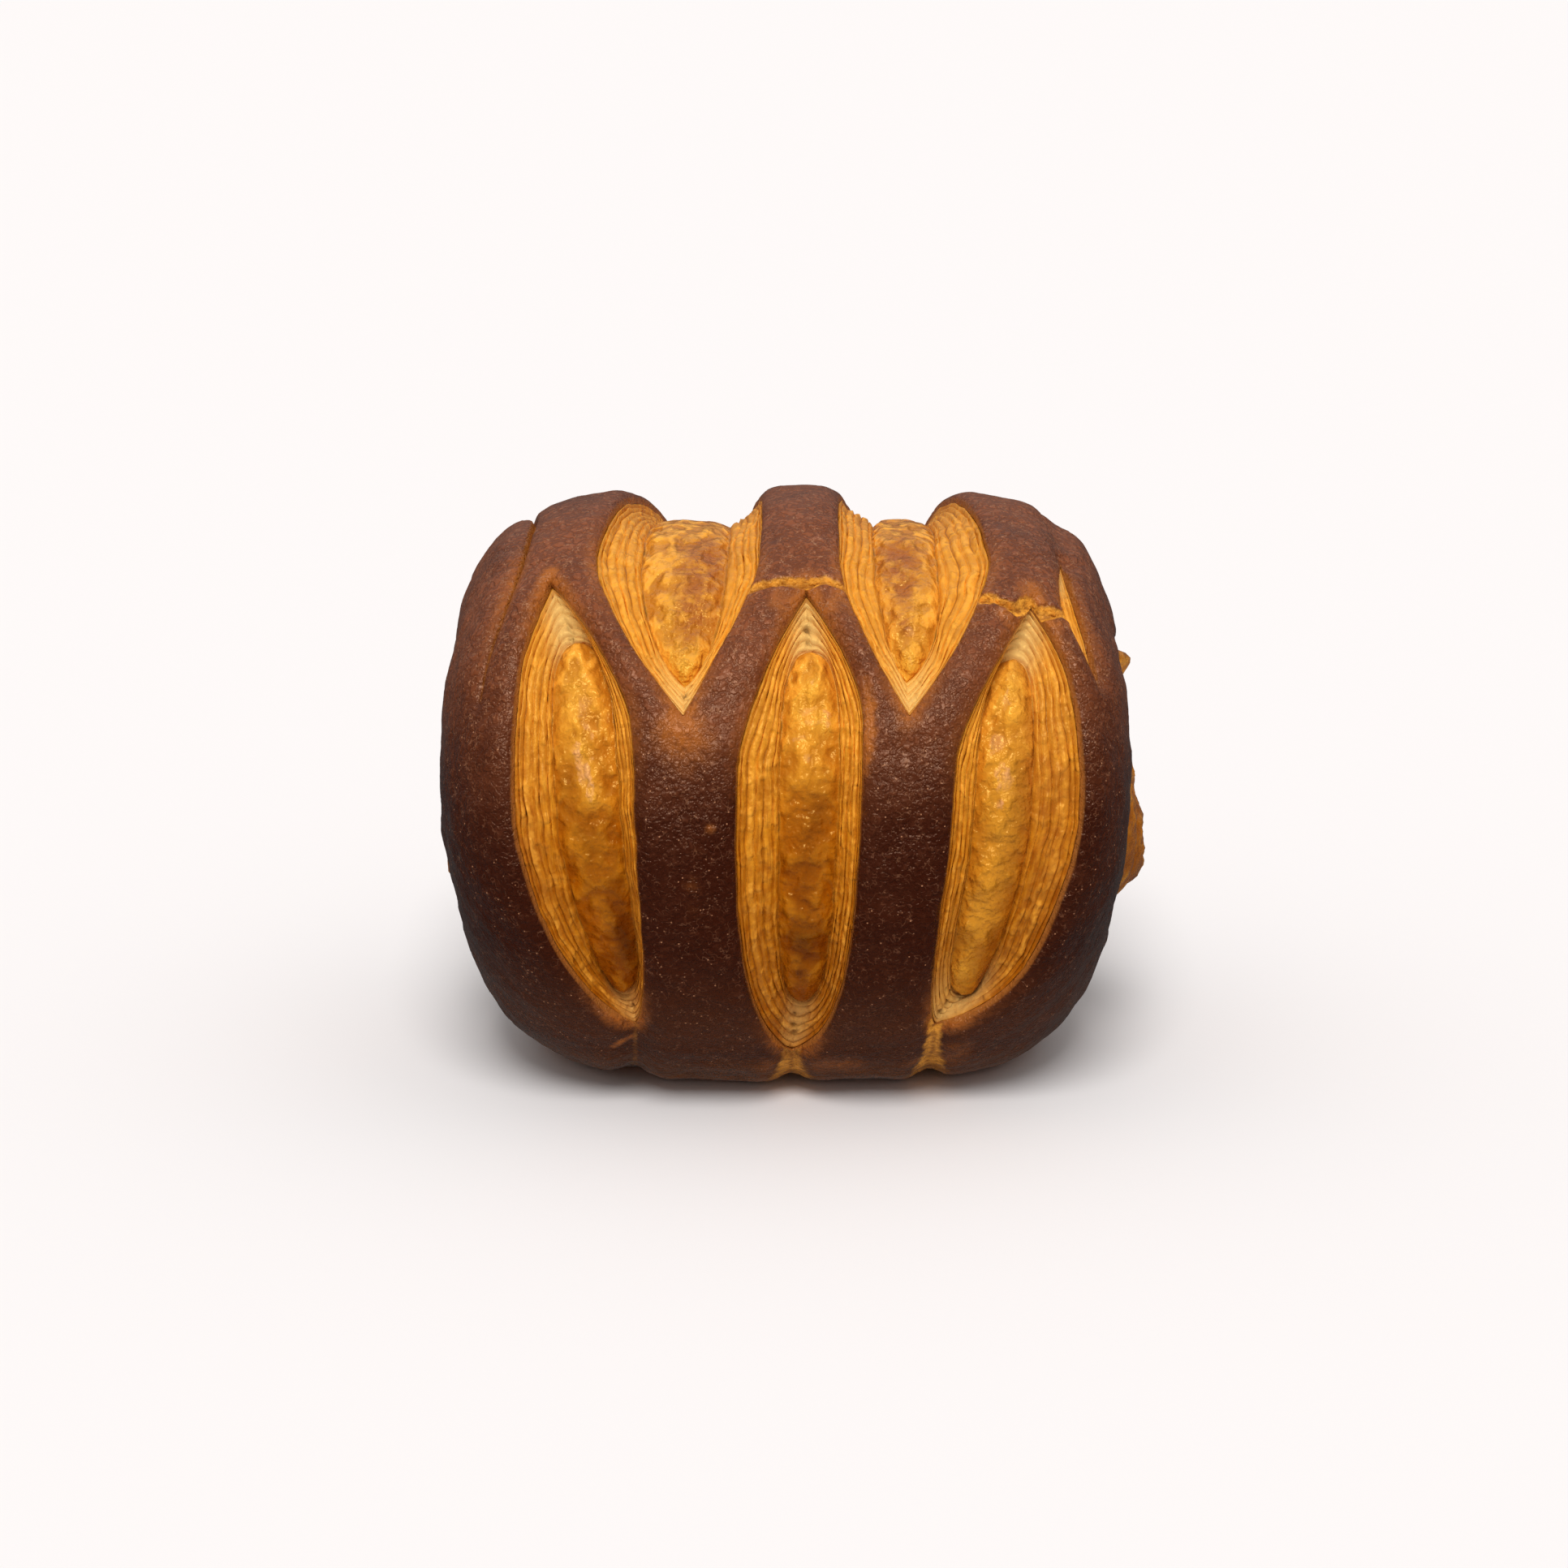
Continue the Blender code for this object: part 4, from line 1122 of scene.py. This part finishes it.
def crust_finish(crust):
    """Glazed dark cocoa crust: wrinkled, speckled, toasted at the slits, bare crumb in the cracks, with
    painted light and shade.
    """
    finish = Finish("cocoa_crust")
    where = finish.position()
    height = finish.height(where)
    edge, bare, toast, cut = [finish.mark(name) for name in ("edge", "bare", "toast", "cut")]
    foot, core, tips = [finish.mark(name) for name in ("foot", "core", "tips")]
    broad = finish.noise(14 * MM, 3.0, 0.55, where)
    patchy = finish.noise(4.5 * MM, 4.0, 0.6, where)
    fine = finish.noise(0.8 * MM, 3.0, 0.6, where)
    ragged = finish.noise(1.3 * MM, 3.0, 0.65, where)
    worms = abs(finish.noise(1.15 * MM, 2.0, 0.55, where) - 0.5).smooth(0.0, 0.13)
    dents = finish.noise(3.2 * MM, 3.0, 0.6, where)

    warmth = height.smooth(0.50, 0.95)
    warm = (warmth * 0.9 + ((broad - 0.5) * 1.3 + (patchy - 0.5) * 1.0) * (warmth * 0.8 + 0.2)).clamped()
    glow = edge.smooth(2.2, 0.0) * tips * (ragged.smooth(0.3, 0.62) * 0.9 + 0.45)
    glow = glow + edge.smooth(0.35, 0.0) * patchy.smooth(0.45, 0.7) * 0.35
    glow = glow + (toast * (ragged * 1.3 + 0.15)).smooth(0.1, 0.85)
    specks = finish.cells(0.85 * MM, where).smooth(0.16, 0.09)
    sparse = finish.noise(1.1 * MM, 0.0, 0.5, where).smooth(0.48, 0.6)
    painted_glints = (1 - abs(finish.noise(0.9 * MM, 1.0, 0.5, where) - 0.5).smooth(0.004, 0.03)) * sparse
    crumb_noise = finish.noise(0.9 * MM, 2.0, 0.6, where)
    crumb = finish.coated(
        crust.crumb_dark,
        (crumb_noise.smooth(0.3, 0.6) * 0.6 + 0.4, crust.crumb),
        # Painted shade down the cores of the creases.
        ((core * (crumb_noise + 0.6)).clamped() * 0.85, crust.crumb_dark),
        (height.smooth(0.3, 0.1) * (patchy.smooth(0.35, 0.65) * 0.5 + 0.25), crust.crumb_dark),
    )
    colour = finish.coated(
        crust.dark,
        (warm, crust.warm),
        # Painted reflection of the white table on the lower crust, then darker again towards the very bottom.
        (height.smooth(0.34, 0.1) * 0.8, crust.low),
        (height.smooth(0.15, 0.03) * 0.9, crust.dark),
        # Painted sheen on the raised fine grain and painted shade in the wrinkle valleys, most in the upper
        # part.
        ((fine - 0.5).smooth(0.0, 0.22) * (warmth * 0.5 + 0.12), crust.warm),
        ((1 - worms) * (warmth * 0.35 + 0.1), crust.dark),
        (glow.clamped() * 0.85, crust.toasted),
        (edge.smooth(0.2, 0.03) * (ragged * 0.7 + 0.2), crust.lining),
        # The golden rim of the foot, partly painted light bounced up from the table.
        ((foot * (patchy * 0.8 + 0.35)).clamped(), crust.foot),
        (specks * sparse, crust.specks),
        # Painted glints on the wrinkles, most in the upper part.
        (painted_glints * (warmth * 0.5 + 0.2), crust.specks),
        ((bare + (ragged - 0.5) * 0.6).smooth(0.15, 0.75), crumb),
        (cut * 0.85, crust.lining),
    )

    relief = worms * 0.55 + dents * 3.0 + fine * 0.3
    finish.set(Base_Color=colour, Normal=finish.bump(relief, 0.16 * MM))
    gloss = (fine - 0.5) * 0.3 + (broad - 0.5) * 0.25
    finish.set(Roughness=(gloss + crust.roughness + bare * 0.2).clamped())
    finish.set(Specular_IOR_Level=0.36, Specular_Tint=(1.0, 0.64, 0.44))
    return finish.material


def dough_finish(dough):
    """Golden laminated dough: browned between its layers, blistered and glazed on its floors, with painted
    light and shade.
    """
    finish = Finish("golden_dough")
    where = finish.position()
    height = finish.height(where)
    level, arc, wall, tip_mark = [finish.mark(name) for name in ("level", "arc", "wall", "tip")]
    browned, pale, red, gap = [finish.mark(name) for name in ("browned", "pale", "red", "gap")]
    thick, seam, glazed = finish.mark("thick"), finish.mark("seam"), finish.mark("glazed")
    broad = finish.noise(7 * MM, 3.0, 0.55, where)
    patchy = finish.noise(2.2 * MM, 4.0, 0.6, where)
    fine = finish.noise(0.6 * MM, 3.0, 0.6, where)
    streaks = finish.noise(0.9, 2.5, 0.5, finish.combine(arc * 0.32, level * 1.4, 0.0))
    threads = finish.noise(0.17, 2.0, 0.5, finish.combine(arc * 0.05, level, 4.0)).smooth(0.5, 0.7)
    # How high up the roll a place lies; the finish uses it, among other things, to paint top light.
    high = height.smooth(0.45, 0.85)
    hills = finish.noise(2.6 * MM, 1.5, 0.5, where)
    drawn_hills = finish.noise(1.9 * MM, 1.5, 0.5, finish.stretched(where, (1.0, 0.6, 0.6)))
    lumps = hills.smooth(0.47, 0.64) * (1 - high) + drawn_hills.smooth(0.46, 0.58) * high
    wrinkles = finish.noise(1.3 * MM, 2.5, 0.55, where).smooth(0.35, 0.75)
    bubbles = finish.noise(1.3, 1.5, 0.5, finish.combine(arc * 0.75, level * 1.2, 7.0)).smooth(0.50, 0.68)
    puffs = finish.noise(1.9 * MM, 1.0, 0.5, where).smooth(0.46, 0.72)
    # Painted light on the tops of the lumps and of the raised bubbles and puffs, more so high up.
    light = lumps * (high * 0.2 + 0.7) + (thick - 0.1).smooth(0.0, 0.8) * 0.35
    floor_colour = finish.coated(
        dough.amber,
        (patchy.smooth(0.30, 0.70), dough.gold),
        # Brown patches, more low down; lighter high up the roll as painted top light, browner low down as
        # painted shade, and redder between the lumps high up as painted shade in the hollows.
        (broad.smooth(0.44, 0.76) * (1 - high) * 0.8, dough.brown),
        (high * 0.6, dough.straw),
        (height.smooth(0.55, 0.15) * 0.45, dough.brown),
        (high * (1 - lumps) * 0.3, dough.red),
        # Painted light on the lumps and bubbles.
        (light * (high * 0.65 + 0.35), finish.mix(high, dough.straw, dough.bright)),
    )
    # Lighter blisters and bubbles on the walls, partly their own tone and partly painted highlight on the
    # raised puffs.
    blister_tone_and_highlight = bubbles * 0.4 + puffs * 0.6 + (thick - 0.1).smooth(0.0, 0.8) * 0.2
    outer = level.smooth(2.6, 0.4) * (1 - tip_mark) * (patchy.smooth(0.35, 0.65) * 0.35 + 0.2)
    off_band = (level - 2.5) * 1.3
    band = off_band.smooth(-1.0, -0.2) * off_band.smooth(1.0, 0.2)
    wall_colour = finish.coated(
        dough.gold,
        (streaks.smooth(0.3, 0.68) * 0.75 + 0.1, dough.straw),
        (broad.smooth(0.42, 0.7) * 0.55, dough.amber),
        # Darker low down the roll as painted shade; then lighter blisters, more so high up, partly as painted
        # highlight and top light.
        (height.smooth(0.72, 0.12) * 0.6, dough.amber),
        (blister_tone_and_highlight * (high * 0.6 + 0.4), dough.bright),
        (threads * (0.55 - tip_mark * 0.3), dough.amber),
        (outer, dough.amber),
        (band * (bubbles * 0.5 + 0.15), dough.bright),
    )
    painted_highlight = (glazed + (patchy - 0.5) * 1.4).smooth(0.38, 0.58) * glazed.smooth(0.05, 0.35)
    broken = finish.noise(5.0, 2.0, 0.6, finish.combine(arc, level * 3.0, 9.0)).smooth(0.33, 0.56)
    # Dark lines between layers, with painted shade under the sheet's edge and in the corner at the floor.
    lines = (seam.smooth(0.10, 0.9) * (broken * 0.85 + 0.15)).clamped()
    colour = finish.coated(
        floor_colour,
        (wall, wall_colour),
        # Lighter high up the roll as painted top light.
        (high * (wall * 0.35 + 0.08), dough.bright),
        (tip_mark * 0.8, dough.cream),
        # Pale patches, partly painted highlights.
        (pale * (high * 0.15 + 0.8), dough.pale),
        ((red * (patchy.smooth(0.35, 0.6) * 0.7 + 0.55)).clamped() * 0.85, dough.red),
        (browned * (patchy * 0.6 + 0.6), dough.dark),
        # Pinkish painted highlights on the floors.
        (painted_highlight * (wrinkles * 0.75 + 0.1), dough.painted_highlight),
        (lines * (0.85 - tip_mark * 0.3), dough.seam),
        # Painted shade in the small holes and under the sheet.
        ((gap * (fine + 0.6)).clamped() * 0.7, dough.dark),
    )

    crinkle = finish.noise(0.55 * MM, 2.0, 0.55, where)
    floor_relief = (hills - 0.5) * (4.0 - high * 4.0) + (drawn_hills - 0.5) * (high * 6.0)
    floor_relief = floor_relief + (wrinkles - 0.4) * (pale * 0.7 + red * 0.4 + 0.5)
    wall_relief = (puffs - 0.4) * 0.7 + (wrinkles - 0.4) * 0.3
    relief = floor_relief * (1 - wall) + wall_relief * wall + crinkle * 0.12
    finish.set(Base_Color=colour, Normal=finish.bump(relief, 0.30 * MM))
    finish.set(Roughness=(dough.roughness + (fine - 0.5) * 0.3 + wall * 0.14).clamped())
    finish.set(Specular_IOR_Level=0.55, Specular_Tint=(1.0, 0.66, 0.18))
    coat = ((1 - wall * 0.6) * patchy.smooth(0.35, 0.6) * 0.08).clamped()
    finish.set(Coat_Weight=coat, Coat_Roughness=0.14)
    return finish.material


def colour_property(name, description, default):
    return FloatVectorProperty(
        name=name, description=description, default=default, size=3, subtype="COLOR", min=0.0, max=1.0
    )


def share_property(name, description, default):
    return FloatProperty(name=name, description=description, default=default, min=0.0, max=1.0)


def length_property(name, description, default):
    return FloatProperty(name=name, description=description, default=default, unit="LENGTH")


class CocoaCrustProperties(bpy.types.PropertyGroup):
    """Sizes and colours of the cocoa crust."""

    # Also painted shade in the wrinkle valleys.
    dark: colour_property("Dark", "Where the crust is baked darkest", (0.038, 0.0050, 0.0010))
    # Also painted sheen on the raised fine grain.
    warm: colour_property("Warm", "Where the crust catches the heat on top", (0.245, 0.064, 0.020))
    # Painted reflection of the white table on the lower crust.
    low: colour_property("Low", "Near the foot", (0.088, 0.025, 0.009))
    toasted: colour_property("Toasted", "Orange toast beside the slits", (0.42, 0.120, 0.017))
    # Also painted light bounced up from the table at the foot.
    lining: colour_property("Lining", "The cut edge of the sheet", (0.38, 0.13, 0.024))
    foot: colour_property("Foot", "The golden rim of the foot", (0.50, 0.15, 0.018))
    # Also the colour of the painted glints.
    specks: colour_property("Specks", "Pale specks of flour and sugar", (0.38, 0.17, 0.085))
    crumb: colour_property("Crumb", "Bare crumb in the cracks", (0.95, 0.41, 0.045))
    # Also painted shade down the cores of the creases.
    crumb_dark: colour_property("Dark crumb", "The deep parts of the crumb", (0.26, 0.080, 0.008))
    roughness: share_property("Roughness", "How dull the crust is", 0.31)
    unevenness: length_property("Unevenness", "Height of the crust's broad dents", 0.22 * MM)
    wrinkles: length_property("Wrinkles", "Depth of the crust's fine wrinkles", 0.10 * MM)


class PlainDoughProperties(bpy.types.PropertyGroup):
    """Sizes and colours of the plain dough."""

    gold: colour_property("Gold", "The usual colour of the baked layers", (0.48, 0.125, 0.0012))
    # Also painted top light on the floors high up.
    straw: colour_property("Straw", "The lighter layers", (0.78, 0.295, 0.012))
    # Painted top light high up the roll and painted highlights on lumps and blisters, besides the lighter
    # band in the walls.
    bright: colour_property("Bright", "The dough high up on the roll", (0.98, 0.42, 0.042))
    cream: colour_property("Cream", "Fresh torn dough at the tips of the slits", (0.80, 0.53, 0.18))
    # Also painted shade low down on the walls.
    amber: colour_property("Amber", "The glazed floors", (0.30, 0.066, 0.0004))
    # Also painted shade low down on the floors.
    brown: colour_property("Brown", "Well baked parts", (0.17, 0.030, 0.0004))
    # Also painted shade in the small holes and under the sheet.
    dark: colour_property("Dark", "The darkest baked parts", (0.085, 0.013, 0.0012))
    # Also painted shade between the lumps high up.
    red: colour_property("Red", "Reddish baked middles", (0.36, 0.085, 0.014))
    # Also painted highlights on the floors and on the puffs of the ends.
    pale: colour_property("Pale", "Pale parts of the floors", (0.87, 0.395, 0.036))
    # Also painted shade under the sheet's edge and in the corner at the floor.
    seam: colour_property("Seam", "The dark lines between layers", (0.30, 0.075, 0.002))
    # The colour of the pinkish painted highlights on the floors.
    painted_highlight: colour_property("Glaze", "Pinkish patches where the glaze lies thick", (0.82, 0.37, 0.14))
    roughness: share_property("Roughness", "How dull the dough is", 0.24)
    blisters: length_property("Blisters", "Height of the blisters on the walls", 0.28 * MM)
    bubbles: length_property("Bubbles", "Height of the bubbles on the floors", 0.55 * MM)
    crown: length_property("Crown", "How far the floors swell up in the middle", 1.0 * MM)


class StudioProperties(bpy.types.PropertyGroup):
    """The table, the light and the camera."""

    white: colour_property("White", "Colour of the table and the backdrop", (0.905, 0.87, 0.862))
    sky: FloatProperty(name="Sky", description="Strength of the light from above", default=1.0, min=0.0)
    lamp: FloatProperty(name="Lamp", description="Strength of the soft box", default=1.9, min=0.0)
    distance: length_property("Camera distance", "From the camera to the roll's middle", 0.62)
    elevation: FloatProperty(
        name="Camera elevation", description="Angle above level", default=np.radians(16.0), subtype="ANGLE"
    )
    scale: IntProperty(name="Scale", description="Photo points for each metre at the middle", default=8865)


class PASTRY_OT_cocoa_sheet(bpy.types.Operator):
    """Make the scored sheet of cocoa dough"""

    bl_idname = "pastry.cocoa_sheet"
    bl_label = "Cocoa sheet"

    def execute(self, context):
        crust = context.scene.pastry_crust
        made = cocoa_mesh(crust).build("cocoa_sheet_baked", crust_finish(crust), SHEET_SMOOTH_UP_TO)
        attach(made, "root")
        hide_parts("cocoa_sheet")
        return {"FINISHED"}


class PASTRY_OT_plain_dough(bpy.types.Operator):
    """Make the roll of plain laminated dough"""

    bl_idname = "pastry.plain_dough"
    bl_label = "Plain dough"

    def execute(self, context):
        dough = context.scene.pastry_dough
        made = dough_mesh(dough).build("plain_dough_baked", dough_finish(dough), DOUGH_SMOOTH_UP_TO)
        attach(made, "root")
        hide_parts("plain_dough")
        return {"FINISHED"}


class PASTRY_OT_studio(bpy.types.Operator):
    """Set the table, the light and the camera"""

    bl_idname = "pastry.studio"
    bl_label = "Studio"

    def execute(self, context):
        scene, studio = context.scene, context.scene.pastry_studio
        bpy.ops.mesh.primitive_plane_add(size=12.0, location=(0, 0, 0))
        table = context.object
        table.name = "table"
        finish = Finish("table_white")
        finish.set(Base_Color=tuple(studio.white), Roughness=0.9, Specular_IOR_Level=0.0)
        table.data.materials.append(finish.material)
        table.visible_glossy = False

        world = bpy.data.worlds.new("studio_light")
        scene.world = world
        world.use_nodes = True
        world.node_tree.nodes.clear()
        nodes = Nodes(world.node_tree)
        direction = nodes.node("ShaderNodeTexCoord", output="Generated")
        upward = nodes.node("ShaderNodeSeparateXYZ", inputs=[direction], output="Z")
        sky = nodes.node("ShaderNodeValToRGB", {"stops": SKY_STOPS}, [upward])
        light = nodes.node("ShaderNodeBackground", inputs=[sky, studio.sky])
        backdrop = nodes.node("ShaderNodeBackground", inputs=[BACKDROP, 1.0])
        seen = nodes.node("ShaderNodeLightPath", output="Is Camera Ray")
        both = nodes.node("ShaderNodeMixShader", inputs=[seen, light, backdrop])
        nodes.node("ShaderNodeOutputWorld", inputs=[both], output=None)

        lamp = bpy.data.lights.new("soft_box", "SUN")
        lamp.energy = studio.lamp
        lamp.angle = np.radians(LAMP_WIDTH)
        box = bpy.data.objects.new("soft_box", lamp)
        box.location = LAMP_PLACE
        box.rotation_euler = (Vector(LAMP_AIM) - box.location).to_track_quat("-Z", "Y").to_euler()
        scene.collection.objects.link(box)

        target = Vector((-MIDDLE, 0, AIM_HEIGHT))
        view = Vector((0, np.cos(studio.elevation), -np.sin(studio.elevation)))
        lens = bpy.data.cameras.new("camera")
        lens.sensor_width = SENSOR
        lens.lens = SENSOR * studio.scale * studio.distance / PICTURE
        lens.shift_x, lens.shift_y = [shift / PICTURE for shift in PICTURE_SHIFT]
        lens.clip_start = 0.01
        camera = bpy.data.objects.new("camera", lens)
        camera.location = target - view * studio.distance
        camera.rotation_euler = view.to_track_quat("-Z", "Y").to_euler()
        scene.collection.objects.link(camera)
        scene.camera = camera
        scene.view_settings.view_transform = "Standard"
        return {"FINISHED"}


class PASTRY_PT_panel(bpy.types.Panel):
    """The steps that make the pastry, in order"""

    bl_label = "Two-dough pastry"
    bl_idname = "PASTRY_PT_panel"
    bl_space_type = "VIEW_3D"
    bl_region_type = "UI"
    bl_category = "Pastry"

    def draw(self, context):
        groups = context.scene.pastry_crust, context.scene.pastry_dough, context.scene.pastry_studio
        for step, group in zip(STEPS, groups):
            box = self.layout.box()
            box.operator(step.bl_idname)
            for name in group.__annotations__:
                box.prop(group, name)


GROUPS = [CocoaCrustProperties, PlainDoughProperties, StudioProperties]
STEPS = [PASTRY_OT_cocoa_sheet, PASTRY_OT_plain_dough, PASTRY_OT_studio]
CLASSES = [*GROUPS, *STEPS, PASTRY_PT_panel]
PLACES = ["pastry_crust", "pastry_dough", "pastry_studio"]


def register():
    for made in CLASSES:
        bpy.utils.register_class(made)
    for name, group in zip(PLACES, GROUPS):
        setattr(bpy.types.Scene, name, PointerProperty(type=group))


def unregister():
    for name in PLACES:
        delattr(bpy.types.Scene, name)
    for made in reversed(CLASSES):
        bpy.utils.unregister_class(made)


def main():
    register()
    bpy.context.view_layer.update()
    bpy.ops.pastry.cocoa_sheet()
    bpy.ops.pastry.plain_dough()
    bpy.ops.pastry.studio()


if __name__ == "__main__":
    main()
